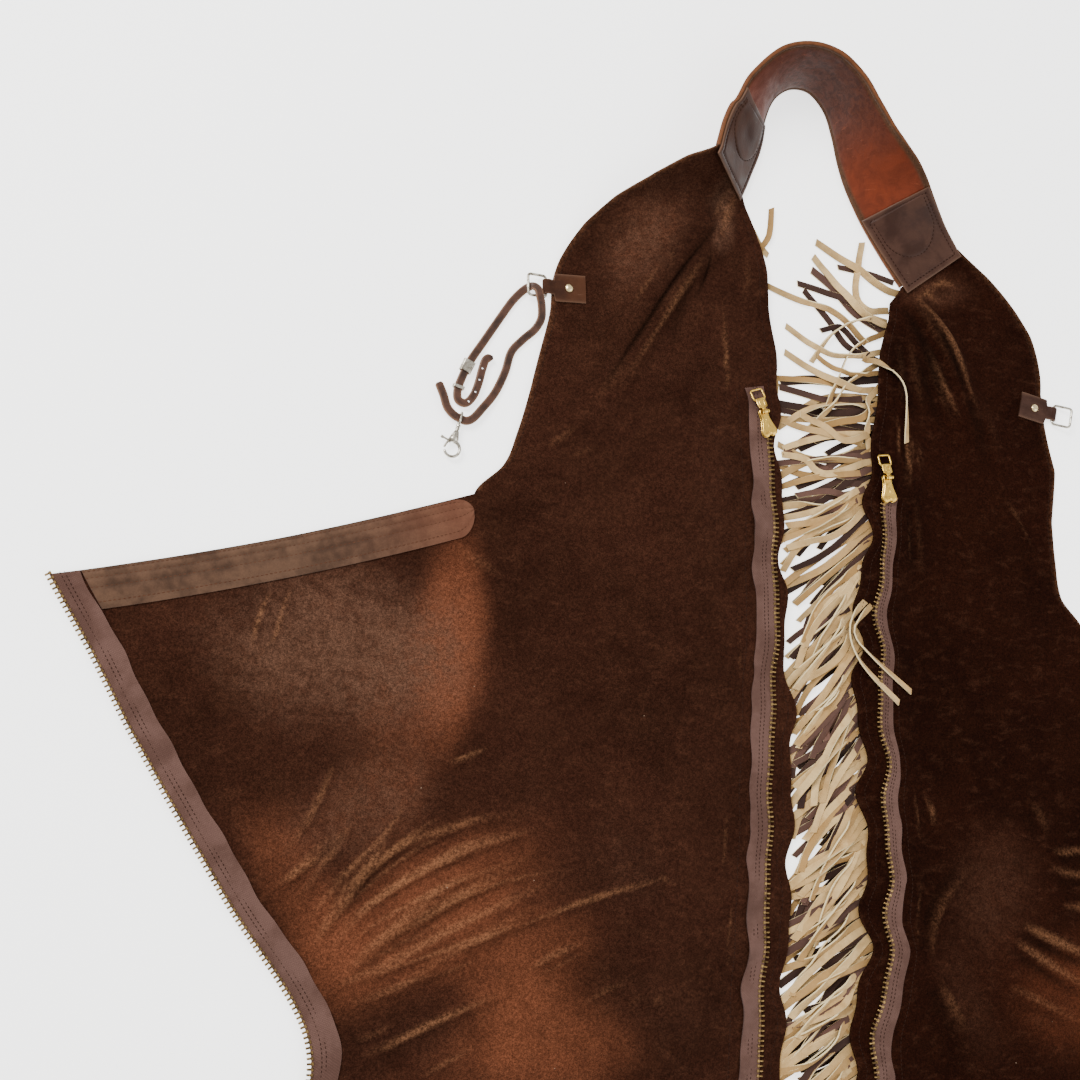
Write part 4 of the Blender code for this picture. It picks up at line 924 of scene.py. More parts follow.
def facing_finish():
    made, tree, shader = new_finish("facing", 0.75, sheen=0.05, specular=0.12)
    where = place_on(tree)
    patchy = cloudy(tree, where, 60, 5, 0.6)
    grain = cloudy(tree, where, 900, 3, 0.6)
    color = mix(tree, spread(tree, patchy, 0.35, 0.65), srgb(58, 40, 29), srgb(84, 61, 46))
    color = mix(tree, stored(tree, "rub"), color, srgb(98, 70, 52))
    color = mix(tree, stored(tree, "end"), color, srgb(106, 62, 44))
    color = tinted(tree, color, grain, 0.75, 1.25)
    dress(tree, shader, color, (patchy, 0.3, 0.0008), (grain, 0.5, 0.0003))
    return made


FACING_FINISH = facing_finish()


def facing_rows(leg, count):
    """The band's distances from its rounded end, and its half width there in rows of the cut."""
    _, _, near_u, _, edge_u, _ = cut_widths(leg, np.full(count, FACING_MIDDLE))
    length = (edge_u - near_u)[0] - BACK_TAPE_WIDTH - 3
    along = np.linspace(0, 1, count) ** 1.15 * length
    half = FACING_HALF * np.sqrt(np.clip(1 - np.clip(1 - along / FACING_END, 0, 1) ** 2, 0.02, 1))
    return along, half


for leg in (LEFT, RIGHT):
    along, half = facing_rows(leg, 150)
    across = np.linspace(-1, 1, 19)
    rows = FACING_MIDDLE + half[:, None] * across
    _, _, near_u, _, edge_u, _ = cut_widths(leg, rows)
    u = near_u + 2 + along[:, None] / along[-1] * (edge_u - BACK_TAPE_WIDTH - 3 - near_u)
    base = on_leg(leg, rows, u)
    up = grid_normals(base)
    sewn = np.exp(-np.min([((across - q) / SEWN_HALF) ** 2 for q in FACING_ROWS], axis=0))
    pucker = along * 2 * math.pi / PUCKER_PITCH + 1.3 * np.sin(along / 17)
    pucker = 0.5 + 0.5 * np.sin(pucker)[:, None]
    crown = PUCKER * (1 - sewn) * (0.72 + 0.28 * pucker) * (1 - 0.8 * np.abs(across) ** 8)
    low = base + up * (SUEDE + 0.1)
    high = base + up * (SUEDE + FACING + crown)[..., None]
    mesh, kept = shell("facing_" + leg.name, low, high)
    rub = np.clip((crown / PUCKER - 0.6) * 1.2, 0, 1) * (0.6 + 0.4 * pucker)
    near_end = np.broadcast_to(np.exp(-(along / 55) ** 2)[:, None], rub.shape)
    add_values(mesh, rub=0.6 * rub.ravel()[kept], end=0.55 * near_end.ravel()[kept])
    facing = add_piece("facing_" + leg.name, mesh, FACING_FINISH,
                       replaces=["thigh_facing_" + leg.name])
    lines = []
    for q in FACING_ROWS:
        row = FACING_MIDDLE + half * q
        _, _, near_u, _, edge_u, _ = cut_widths(leg, row)
        u = near_u + 4 + along / along[-1] * (edge_u - BACK_TAPE_WIDTH - 6 - near_u)
        lines.append(leg_line(leg, row, u, FACING + 0.05))
    with_panel[leg.name] += [facing, add_along("facing_stitches_" + leg.name, lines,
                                               STITCH, STITCH_PITCH, BROWN_THREAD)]


# --- the zip tapes and teeth --------------------------------------------------------------------
# Each leg carries one half of a long brass zip along its side seam and the other half on its far
# edge. The woven tape is sewn down with two rows, has come loose in places, and holds brass teeth.

TAPE, TAPE_LIFT, SIDE_TAPE_WIDTH = 0.6, 0.25, 15.0
TOOTH_PITCH, TOOTH_LENGTH, TOOTH_WIDTH, TOOTH_HEIGHT = 3.39, 4.4, 2.3, 2.2
TEETH_U, TEETH_LIFT, BACK_TEETH_OUT = -0.6, 0.55, 2.2
SIDE_TAPE_SEAMS, BACK_TAPE_SEAMS = (5.6, 8.4), (5.2, 8.0)
TAPE_STITCH_PITCH = 2.9

# Where a side tape's sewn edge has come loose: heights on the seam, how far it lifts and creeps
Loose = namedtuple("Loose", "leg top bottom lift creep")
LOOSE_PLACES = [Loose(*row) for row in (
    ("left", -55, -150, 2.2, 2.6), ("left", -345, -500, 2.6, -3.2), ("left", -600, -700, 1.4, 2),
    ("right", -250, -300, 1.2, 1.5), ("right", -610, -760, 1.8, -2),
)]


def tape_finish():
    made, tree, shader = new_finish("zip_tape", 0.88, sheen=0.08, specular=0.1)
    uv = add(tree, "ShaderNodeUVMap", {}, uv_map="weave").outputs["UV"]
    ribs = add(tree, "ShaderNodeTexWave", {"Vector": uv, "Scale": 0.42, "Distortion": 0.6,
               "Detail": 1.0}, bands_direction="X").outputs["Fac"]
    picks = add(tree, "ShaderNodeTexWave", {"Vector": uv, "Scale": 0.36, "Distortion": 0.4,
                "Detail": 1.0}, bands_direction="DIAGONAL").outputs["Fac"]
    weave = maths(tree, "MULTIPLY", ribs, picks)
    soiled = cloudy(tree, place_on(tree), 34, 5, 0.65)
    color = mix(tree, spread(tree, soiled, 0.36, 0.66), srgb(98, 72, 64), srgb(80, 56, 48))
    color = tinted(tree, color, weave, 0.8, 1.22)
    dress(tree, shader, color, (weave, 0.5, 0.0003), (soiled, 0.15, 0.001))
    return made


def metal_finish(name, bright, dull, roughness, tarnish=0.5):
    """Polished metal with tarnish and fine scratches in its hollows and over its face."""
    made, tree, shader = new_finish(name, roughness, metallic=1.0)
    stains = cloudy(tree, place_on(tree), 260, 4, 0.65)
    scratches = cloudy(tree, place_on(tree, (1, 9, 1), 35), 700, 3, 0.7)
    color = mix(tree, spread(tree, stains, tarnish - 0.1, tarnish + 0.25), bright, dull)
    dress(tree, shader, color, (scratches, 0.15, 0.0001),
          Roughness=spread(tree, stains, 0.35, 0.75, roughness, roughness + 0.25))
    return made


TAPE_FINISH = tape_finish()
TEETH_BRASS = metal_finish("teeth_brass", srgb(150, 122, 78), srgb(70, 54, 34), 0.36, 0.44)


def tooth_mesh():
    """One tooth: a clamp over the tape's bead, a narrower neck, and a cupped head past it."""
    bm = bmesh.new()
    parts = ((TOOTH_WIDTH * 0.55, TOOTH_LENGTH * 0.62, TOOTH_HEIGHT, 0.9),
             (TOOTH_WIDTH, TOOTH_LENGTH * 0.42, TOOTH_HEIGHT * 0.8, -TOOTH_LENGTH * 0.3))
    for along, across, height, middle in parts:
        made = bmesh.ops.create_cube(bm, size=1.0)["verts"]
        bmesh.ops.scale(bm, vec=(along, across, height), verts=made)
        bmesh.ops.translate(bm, vec=(0, middle, 0), verts=made)
    bmesh.ops.bevel(bm, geom=bm.edges[:], offset=0.28, segments=1, affect="EDGES")
    return mesh_from("tooth", bm)


def set_weave(mesh, points_uv):
    """The weave's own coordinates, in millimetres across and along the tape."""
    layer = mesh.uv_layers.new(name="weave")
    corners = np.empty(len(mesh.loops), int)
    mesh.loops.foreach_get("vertex_index", corners)
    layer.data.foreach_set("uv", points_uv[corners].astype(np.float32).ravel())


def side_tape_edge(leg, v):
    """How far the tape's sewn edge lifts and creeps where it has come loose."""
    lift, creep = np.zeros(v.shape), 0.8 * np.sin(v / 11.0 + 2 * np.sin(v / 31.0))
    creep += 0.45 * np.sin(v / 4.7 + np.sin(v / 17.0))
    for loose in LOOSE_PLACES:
        if loose.leg == leg.name:
            inside = np.clip((loose.top - v) / (loose.top - loose.bottom), 0, 1)
            swell = np.sin(math.pi * inside) ** 0.6
            lift += loose.lift * swell * (0.5 + 0.5 * np.sin(v / 6.1 + np.sin(v / 13.0)))
            creep += loose.creep * swell * (0.6 + 0.4 * np.sin(v / 8.3))
    return lift, creep


def add_tape(leg, kind, rows, inner_u, outer_u, lift, replaced):
    """One half of a zip's tape, from its sewn edge to the bead that carries the teeth."""
    across = np.linspace(0, 1, 11)
    u = inner_u[:, None] + (outer_u - inner_u)[:, None] * across
    base = on_leg(leg, rows[:, None], u)
    up = grid_normals(base)
    rise = lift[:, None] * (1 - across) ** 1.5 + 0.5 * np.exp(-((across - 0.97) / 0.05) ** 2)
    low = base + up * (SUEDE + TAPE_LIFT + 0.55 * rise)[..., None]
    high = base + up * (SUEDE + TAPE_LIFT + TAPE + rise)[..., None]
    mesh, kept = shell(kind + "_tape_" + leg.name, low, high)
    steps = np.linalg.norm(np.diff(base[:, 5], axis=0), axis=1)
    along = added_up(steps)
    uv = np.stack(np.broadcast_arrays(across * BACK_TAPE_WIDTH, along[:, None]), -1)
    set_weave(mesh, uv.reshape(-1, 2)[kept])
    return add_piece(kind + "_tape_" + leg.name, mesh, TAPE_FINISH,
                     replaces=[replaced])


def teeth_line(leg, rows, u, downward):
    """The line of a row of teeth, which are set from its first point to its last."""
    points, up = leg_line(leg, rows, u, TAPE_LIFT + TEETH_LIFT)
    return (points, up) if downward else (points[::-1], up[::-1])


TOOTH = tooth_mesh()
TAPE_STITCH = bead(1.9, 0.6, 0.4)
LAST_ROW = len(INSIDE_CUT) - 1
for leg in (LEFT, RIGHT):
    zip_top = ZIP_TOPS[leg.name]
    rows = even_rows(row_at(zip_top.tape), LAST_ROW - 0.01)
    v = smooth(INSIDE_CUT, rows)[:, 0]
    lift, creep = side_tape_edge(leg, v)
    sewn_edge = SIDE_TAPE_WIDTH + creep
    tape = add_tape(leg, "side", rows, sewn_edge, np.full(len(rows), TEETH_U), lift,
                    "side_zip_" + leg.name)
    teeth_rows = rows[(rows >= row_at(zip_top.teeth)) & (rows < LAST_ROW - 0.05)]
    lines = [teeth_line(leg, teeth_rows, TEETH_U - 0.4, leg is LEFT)]
    teeth = add_along("side_teeth_" + leg.name, lines, TOOTH, TOOTH_PITCH, TEETH_BRASS, 35)

    back_rows = even_rows(THIGH_ROW + 0.02, LAST_ROW - 0.01)
    edge_u = cut_widths(leg, back_rows)[4]
    v = smooth(INSIDE_CUT, back_rows)[:, 0]
    creep = 0.5 * np.sin(v / 11.0) + 0.4 * np.sin(v / 4.7)
    back_lift = 0.5 + 0.5 * np.sin(v / 7.0 + np.sin(v / 19.0))
    back = add_tape(leg, "back", back_rows, edge_u - BACK_TAPE_WIDTH + creep, edge_u + 1.6,
                    back_lift, "back_zip_" + leg.name)
    lines = [teeth_line(leg, back_rows, edge_u + BACK_TEETH_OUT, leg is RIGHT)]
    back_teeth = add_along("back_teeth_" + leg.name, lines, TOOTH, TOOTH_PITCH,
                           TEETH_BRASS, 35)

    on_tape = TAPE_LIFT + TAPE + 0.1
    lines = [leg_line(leg, rows, u, on_tape) for u in SIDE_TAPE_SEAMS]
    lines += [leg_line(leg, back_rows, edge_u - u, on_tape) for u in BACK_TAPE_SEAMS]
    tape_stitches = add_along("tape_stitches_" + leg.name, lines, TAPE_STITCH,
                              TAPE_STITCH_PITCH, DARK_THREAD)
    with_panel[leg.name] += [tape, teeth, back, back_teeth, tape_stitches]


# --- the fringe ---------------------------------------------------------------------------------
# Strips slit from one long leather band, cream on its flesh side and brown on its grain side,
# sewn under each flap. The right leg's lie out in a tangled heap, mostly flesh side up, and the
# left leg's lie under its panel, where a few ends peep out.

STRIP, STRIP_PITCH, STRIP_FACES = 1.15, 5.7, 21
LEFT_FRINGE_TOP, UNDER_ROW_TOP = 150.0, 118.0
LEFT_FRINGE_END, RIGHT_FRINGE_END = -733.0, -785.0
SPACE_UNDER = 0.25

# How far a strip's resting lines lie from its middle, as a share of its width, how deep it may sink
# between them, how steeply it may slope, and how much narrower its tip is
REST_SHARE, MAY_SINK, STEEPEST, TIP_TAPER = 0.45, 0.6, 0.4, 0.1

# The heap is a grid of heights from HEAP_X and HEAP_Y on, and the ceiling is the suede over it
HEAP_CELL, HEAP_LIMIT, HEAP_X, HEAP_Y = 1.5, 6.2, 60.0, -1150.0
HEAP_ROWS, HEAP_COLUMNS = 980, 190
NO_ROOF, OPEN_ABOVE = 99.0, 50.0

# How the strips hang down the flap: degrees below straight left, at the root and at the tip, and
# the share of the strips that lie there
Hang = namedtuple("Hang", "y root_turn tip_turn share")
HANG = [Hang(*row) for row in (
    (240, -38, -52, 0), (150, 4, 12, 0), (120, 6, 6, 0.5), (90, 8, 14, 0.65), (60, 14, 22, 0.8),
    (30, 24, 38, 0.95), (0, 32, 52, 1), (-60, 34, 52, 1), (-150, 38, 56, 1), (-195, 36, 54, 1),
    (-250, 18, 36, 1), (-420, 24, 42, 1), (-1200, 28, 46, 1),
)]

# Strips laid one by one, from root to tip, with their width, 1 where the grain side is up, and
# how far they stand up on edge, in degrees
Strand = namedtuple("Strand", "x0 y0 x1 y1 x2 y2 x3 y3 width grain roll")
UNDER_STRANDS = [Strand(*row) for row in (
    (294, 215, 279, 219, 265, 221, 250, 223, 4.4, 1, 20),
    (286, 174, 263, 186, 246, 204, 227, 219, 6.4, 1, 10),
    (277, 180, 256, 195, 235, 202, 214, 207, 5, 1, 20),
    (277, 150, 254, 159, 239, 179, 219, 202, 4.8, 1, 30),
    (268, 156, 251, 172, 243, 173, 232, 170, 4.6, 1, 20),
    (288, 190, 270, 189, 264, 206, 273, 245, 5.4, 0, 50),
    (286, 181, 270, 184, 248, 206, 229, 230, 5.6, 0, 30),
    (278, 134, 245, 130, 219, 130, 195, 127, 7.4, 1, 0),
    (259, 116, 234, 114, 213, 119, 194, 123, 5.4, 1, 0),
    (272, 107, 251, 104, 226, 105, 192, 110, 6.2, 1, 0),
    (264, 94, 240, 97, 216, 101, 193, 105, 4.6, 1, 10),
    (263, 74, 245, 70, 224, 57, 195, 46, 5.6, 1, 0),
    (268, 62, 246, 54, 222, 62, 194, 72, 5.4, 1, 0),
    (267, 48, 247, 40, 226, 42, 203, 38, 5, 1, 10),
)]
UPPER_STRANDS = [Strand(*row) for row in (
    (303, 205, 290, 208, 265, 222, 232, 242, 5.8, 0, 40),
    (286, 178, 267, 181, 242, 169, 222, 144, 5, 0, 75),
    (285, 170, 258, 157, 244, 133, 230, 105, 4.6, 0, 78),
    (277, 144, 252, 129, 235, 109, 217, 92, 4.6, 0, 65),
    (284, 156, 261, 151, 233, 153, 202, 172, 4.8, 0, 60),
    (278, 125, 259, 124, 231, 133, 200, 151, 5.2, 0, 45),
    (267, 165, 248, 183, 214, 193, 186, 204, 5, 0, 60),
    (276, 138, 260, 136, 246, 138, 227, 149, 4, 0, 70),
    (277, 124, 267, 112, 267, 81, 274, 49, 4.8, 0, 70),
    (273, 110, 258, 100, 238, 96, 217, 90, 5.6, 0, 20),
    (257, 82, 229, 87, 203, 94, 190, 98, 5.2, 0, 10),
    (263, 66, 227, 55, 210, 66, 193, 70, 5.2, 0, 15),
    (266, 88, 244, 82, 226, 93, 208, 101, 5, 0, 15),
    (268, 44, 240, 26, 215, 18, 194, 15, 5.4, 0, 20),
    (266, 34, 236, 10, 214, 4, 193, -2, 5.4, 0, 20),
)]
OVER_STRANDS = [Strand(*row) for row in (
    (270, 148, 281, 144, 298, 126, 298, 82, 4.4, 0, 66),
    (262, -36, 240, -58, 245, -86, 278, -119, 4.8, 0, 55),
    (266, -40, 243, -62, 252, -80, 289, -111, 4.4, 0, 60),
)]
PEEPING_STRANDS = [Strand(*row) for row in (
    (170, 262, 176, 250, 183, 236, 190, 227, 5.2, 0, 25),
    (182, 231, 190, 240, 193, 249, 195, 266, 4.8, 0, 30),
    (178, 144, 187, 136, 191, 125, 188, 101, 5.2, 0, 55),
)]

heap = np.zeros((HEAP_ROWS, HEAP_COLUMNS))
ceiling = np.full(heap.shape, NO_ROOF)


def cell_at(x, y):
    """The cells of the heap's grid that places lie in."""
    return (np.clip(((y - HEAP_Y) / HEAP_CELL).astype(int), 0, heap.shape[0] - 1),
            np.clip(((x - HEAP_X) / HEAP_CELL).astype(int), 0, heap.shape[1] - 1))


for leg in (LEFT, RIGHT):
    rows = even_rows(1, LAST_ROW)
    rows = np.interp(np.arange(0, len(rows) - 1, 0.3), np.arange(len(rows)), rows)[:, None]
    u = -cut_widths(leg, rows)[1] + np.linspace(0, 130, 110)
    underside = on_leg(leg, rows, u)
    ceiling[cell_at(underside[..., 0], underside[..., 1])] = underside[..., 2]


def evened(values, passes=2):
    """Values along a strip, smoothed with their neighbours."""
    for _ in range(passes):
        padded = np.pad(values, 1, mode="edge")
        values = (padded[:-2] + 2 * values + padded[2:]) / 4
    return values


def lowest_near(values, reach=2):
    """The lowest of each value and its neighbours within reach."""
    padded = np.pad(values, reach, mode="edge")
    return np.min([padded[k:k + len(values)] for k in range(2 * reach + 1)], axis=0)


def lay_strip(plan, width, roll, curl, over=False):
    """Rests a strip on the heap along plan points, and returns its sections, four corners each."""
    lengths = added_up(np.hypot(*np.diff(plan, axis=0).T))
    along = np.linspace(0, lengths[-1], STRIP_FACES + 1)
    centre = np.stack([np.interp(along, lengths, plan[:, k]) for k in (0, 1)], -1)
    ahead = unit(np.gradient(centre, axis=0))
    aside = np.stack([ahead[:, 1], -ahead[:, 0]], -1)
    edges = [cell_at(*(centre + aside * width * side).T) for side in (-REST_SHARE, 0, REST_SHARE)]
    rests = [heap[cells] for cells in edges]
    roof = np.min([ceiling[cells] for cells in edges], axis=0)
    left, right = (evened(np.maximum(rests[k], rests[1] - MAY_SINK)) + 0.1 for k in (0, 2))
    if over:
        raised = np.where((roof < OPEN_ABOVE) & (np.arange(len(roof)) > 3), roof + SUEDE + 0.5, 0)
        raised = evened(-lowest_near(-raised, 2), 1)
        left, right = np.maximum(left, raised), np.maximum(right, raised)
        free = np.clip((np.arange(len(roof)) - 3) / 3, 0, 1)
    else:
        most = evened(np.minimum(lowest_near(roof, 2), HEAP_LIMIT + 1.4), 1) - STRIP - SPACE_UNDER
        left, right = np.minimum(left, most), np.minimum(right, most)
        free = evened((lowest_near(roof, 3) > OPEN_ABOVE).astype(float))
    slope = np.clip(right - left, -STEEPEST * width, STEEPEST * width)
    low = np.maximum(np.minimum(np.maximum(left, right), HEAP_LIMIT), 0.1) - np.abs(slope) / 2
    turned = np.arctan2(slope, width) + np.radians(roll) * free
    low = low + np.abs(np.sin(np.radians(roll) * free)) * width / 2 + curl * free
    middle = np.column_stack([centre, np.maximum(low, 0.1)])
    up = np.array((0.0, 0.0, 1.0))
    level = np.column_stack([aside, np.zeros(len(aside))])
    cross = level * np.cos(turned)[:, None] + up * np.sin(turned)[:, None]
    face = up * np.cos(turned)[:, None] - level * np.sin(turned)[:, None]
    wide = width * (1 - TIP_TAPER * np.linspace(0, 1, len(along)) ** 3)[:, None]
    for share in np.linspace(-0.5, 0.5, 5):
        top = middle + cross * wide * share + face * STRIP
        top = np.concatenate([top[:-1] * (1 - t) + top[1:] * t for t in (0, 0.33, 0.67)])
        np.maximum.at(heap, cell_at(top[:, 0], top[:, 1]), np.minimum(top[:, 2], HEAP_LIMIT))
    offset = np.zeros((len(along), 3))
    offset[-1, :2] = ahead[-1]
    corners = [middle - cross * wide / 2 - offset, middle + cross * wide / 2 + offset * 0.6]
    return np.stack(corners + [corners[1] + face * STRIP, corners[0] + face * STRIP], axis=1)


def strips_mesh(name, strips, grain, tones):
    """One mesh of many strips, each a row of four-cornered sections."""
    count = STRIP_FACES
    ring = np.arange(count)[:, None] * 4 + np.arange(4)
    ahead = np.roll(ring, -1, axis=1)
    walls = np.stack([ring, ahead, ahead + 4, ring + 4], -1).reshape(-1, 4)
    caps = np.array([(3, 2, 1, 0), np.arange(4) + 4 * count])
    faces = np.concatenate([walls, caps])
    starts = np.arange(len(strips))[:, None, None] * 4 * (count + 1)
    mesh = bpy.data.meshes.new(name)
    points = np.concatenate(strips).reshape(-1, 3)
    mesh.from_pydata(points.tolist(), [], (faces + starts).reshape(-1, 4).tolist())
    side = np.array([1.0, 0.5, 0.0, 0.5] * count + [0.5, 0.5])
    up_side = np.array(grain, float)[:, None]
    shown = np.where(side == 0.5, 0.5, np.abs(side - up_side))
    add_values(mesh, domain="FACE", side=shown.ravel(), tone=np.repeat(tones, len(faces)))
    ends = np.tile(np.repeat(np.linspace(0, 1, count + 1), 4), len(strips))
    add_values(mesh, along=ends)
    return mesh


def fringe_finish():
    made, tree, shader = new_finish("fringe_leather", 0.76, sheen=0.05, specular=0.15)
    where = place_on(tree)
    fibres = cloudy(tree, where, 320, 4, 0.65)
    patchy = cloudy(tree, where, 70, 3, 0.6)
    pebbles = add(tree, "ShaderNodeTexVoronoi", {"Vector": where, "Scale": 900.0},
                  feature="DISTANCE_TO_EDGE").outputs["Distance"]
    flesh = mix(tree, stored(tree, "tone"), srgb(156, 119, 70), srgb(212, 180, 128))
    flesh = mix(tree, spread(tree, patchy, 0.4, 0.7, 0, 0.5), flesh, srgb(148, 112, 64))
    flesh = tinted(tree, flesh, fibres, 0.82, 1.15)
    grain = mix(tree, stored(tree, "tone"), srgb(40, 23, 17), srgb(98, 70, 60))
    grain = tinted(tree, grain, fibres, 0.7, 1.2)
    side = stored(tree, "side")
    color = mix(tree, maths(tree, "GREATER_THAN", side, 0.25), flesh, srgb(214, 194, 150))
    color = mix(tree, maths(tree, "GREATER_THAN", side, 0.75), color, grain)
    # Painted shade near the floor: the colour is multiplied by 0.62 where a strip touches the
    # floor, rising to 1.04 at 5 mm up
    height = add(tree, "ShaderNodeSeparateXYZ", {"Vector": where}).outputs["Z"]
    color = tinted(tree, color, spread(tree, height, 0.0, 0.005), 0.62, 1.04)
    # Painted shade at the root, where the strips lie under the flap: they are multiplied to about
    # two thirds there, fading out by a third of their length
    from_root = spread(tree, stored(tree, "along"), 0.08, 0.34)
    root_painted_shade = mix(tree, from_root, (0.66, 0.64, 0.6, 1.0), grey(1.0))
    color = mix(tree, 1.0, color, root_painted_shade, "MULTIPLY")
    pebbled = spread(tree, pebbles, 0.0, 0.12)
    dress(tree, shader, color, (fibres, 0.4, 0.0003), (pebbled, 0.25, 0.0002))
    return made


FRINGE_FINISH = fringe_finish()
chance = np.random.default_rng(11)


def flap_place(leg, y, inside):
    """The place on the floor under a flap, a distance inside its edge, at height y."""
    rows = np.linspace(1, LAST_ROW, 900)
    edge = on_leg(leg, rows, inside - cut_widths(leg, rows)[1])
    return np.interp(-np.asarray(y, float), -edge[:, 1], edge[:, 0])


def strand_path(strand, extra):
    """A laid strip's plan, carried back under the flap at its root."""
    points = np.array(strand[:8], float).reshape(4, 2)
    points = np.vstack([points[0] + unit(points[0] - points[1]) * extra, points])
    return smooth(points, np.linspace(0, 4, 60))


def hanging_path(y, length):
    """A strip's plan by rule, from under the right flap's edge."""
    index = np.interp(-y, [-hang.y for hang in HANG], range(len(HANG)))
    _, root_turn, tip_turn, _ = smooth(HANG, index)
    root_turn += chance.normal(0, 7)
    tip_turn += chance.normal(0, 13)
    sway = chance.normal(0, 10)
    s = np.linspace(0, 1, 40)
    turn = root_turn + (tip_turn - root_turn) * s ** 0.8 + sway * np.sin(math.pi * 1.6 * s)
    heading = -np.stack([np.cos(np.radians(turn)), np.sin(np.radians(turn))], -1)
    start = np.array([flap_place(RIGHT, y, 9.0), y])
    return start + np.concatenate([[(0, 0)], np.cumsum(heading[:-1], axis=0)]) * length / 39


right_strips, right_grain, right_tones = [], [], []


def lay_right(plan, width, grain, roll, over=False, palest=1.0):
    """Lays one strip of the right fringe with a lean and a curl of its own."""
    s = np.linspace(0, 1, STRIP_FACES + 1)
    wave = chance.random() * 1.6
    lean = roll * np.clip(1.35 - 1.6 * np.abs(s - 0.35), 0.0, 1.0) ** 1.2
    curl = wave * np.sin(math.pi * s) ** 2 * (0.6 + 0.4 * np.sin(9 * s + 6 * wave))
    right_strips.append(lay_strip(plan, width, lean, curl * (s > 0.1), over))
    right_grain.append(grain)
    right_tones.append(palest * chance.random())


# Under the heap lies a row of short strips, grain side up, that shows dark in its gaps. Their tones
# are held to the darkest third as painted shade, for lying under the heap
for y in np.arange(UNDER_ROW_TOP, RIGHT_FRINGE_END, -STRIP_PITCH):
    lay_right(hanging_path(y, chance.uniform(46, 80)), chance.uniform(4.6, 6.4), 1, 0, palest=0.3)
for layer, grain_share in ((0, 0.72), (1, 0.12)):
    heights = np.arange(FRINGE_TOP - 4, RIGHT_FRINGE_END, -STRIP_PITCH)
    heights = heights + chance.normal(0, 1.2, len(heights))
    order = np.argsort(heights + chance.normal(0, 14, len(heights)))
    for y in heights[order]:
        share = np.interp(-y, [-hang.y for hang in HANG], [hang.share for hang in HANG])
        if chance.random() > share:
            continue
        grain = int(chance.random() < grain_share)
        roll = chance.choice((0, 15, 60)) * chance.choice((-1, 1)) * (1 - grain)
        lay_right(hanging_path(y, chance.uniform(84, 104)), chance.uniform(4.3, 6.0), grain, roll)
    for strand in (UNDER_STRANDS, UPPER_STRANDS)[layer]:
        lay_right(strand_path(strand, 5.0), strand.width, strand.grain, strand.roll)
for strand in OVER_STRANDS:
    lay_right(strand_path(strand, 4.0), strand.width, strand.grain, strand.roll, True)

flat = np.zeros(STRIP_FACES + 1)
left_strips, left_grain = [], []
for y in np.arange(LEFT_FRINGE_TOP, LEFT_FRINGE_END, -STRIP_PITCH):
    turn = np.radians(chance.normal(12 if y > 60 else 32, 9)) + np.linspace(0, 0.3, 12)
    start = np.array([flap_place(LEFT, y, 5.0), y])
    heading = -np.stack([np.cos(turn), np.sin(turn)], -1)
    plan = start + np.cumsum(heading, axis=0) * chance.uniform(68, 76) / 12
    left_strips.append(lay_strip(plan, chance.uniform(4.4, 5.4), flat, flat))
    left_grain.append(0)
for strand in PEEPING_STRANDS:
    left_strips.append(lay_strip(strand_path(strand, 3.0), strand.width, flat + strand.roll, flat))
    left_grain.append(strand.grain)

for name, strips, grain, tones in (
        ("right", right_strips, right_grain, right_tones),
        ("left", left_strips, left_grain, chance.random(len(left_strips)))):
    mesh = strips_mesh("fringe_strips_" + name, strips, grain, tones)
    fringe = add_piece("fringe_strips_" + name, mesh, FRINGE_FINISH,
                       replaces=["fringe_" + name], sharp=30)
    with_panel[name].append(fringe)


# --- the belt -----------------------------------------------------------------------------------
# A strap of two layers of thick leather, sewn together near both edges, that stands on its lower
# edge round the waist opening. Its smooth red-brown inner face shows, darker where it has been
# bent, under a raw tan rim.

EDGE_STITCH = 3.4
RIM_ROUND, RIM_WIDTH, GROOVE, GROOVE_HALF, BELT_SWELL = 0.9, 1.1, 0.45, 0.7, 0.35


def loft(name, sections, closed=False):
    """A closed mesh through a row of sections, each a ring of points."""
    sections = np.asarray(sections, float)
    count, sides = sections.shape[:2]
    ring = np.arange(count * sides).reshape(count, sides)
    here = ring if closed else ring[:-1]
    ahead = np.roll(ring, -1, axis=0) if closed else ring[1:]
    walls = np.stack([here, np.roll(here, -1, axis=1), np.roll(ahead, -1, axis=1), ahead], -1)
    faces = walls.reshape(-1, 4).tolist()
    if not closed:
        faces += [ring[0, ::-1].tolist(), ring[-1].tolist()]
    return closed_mesh(name, sections, faces)


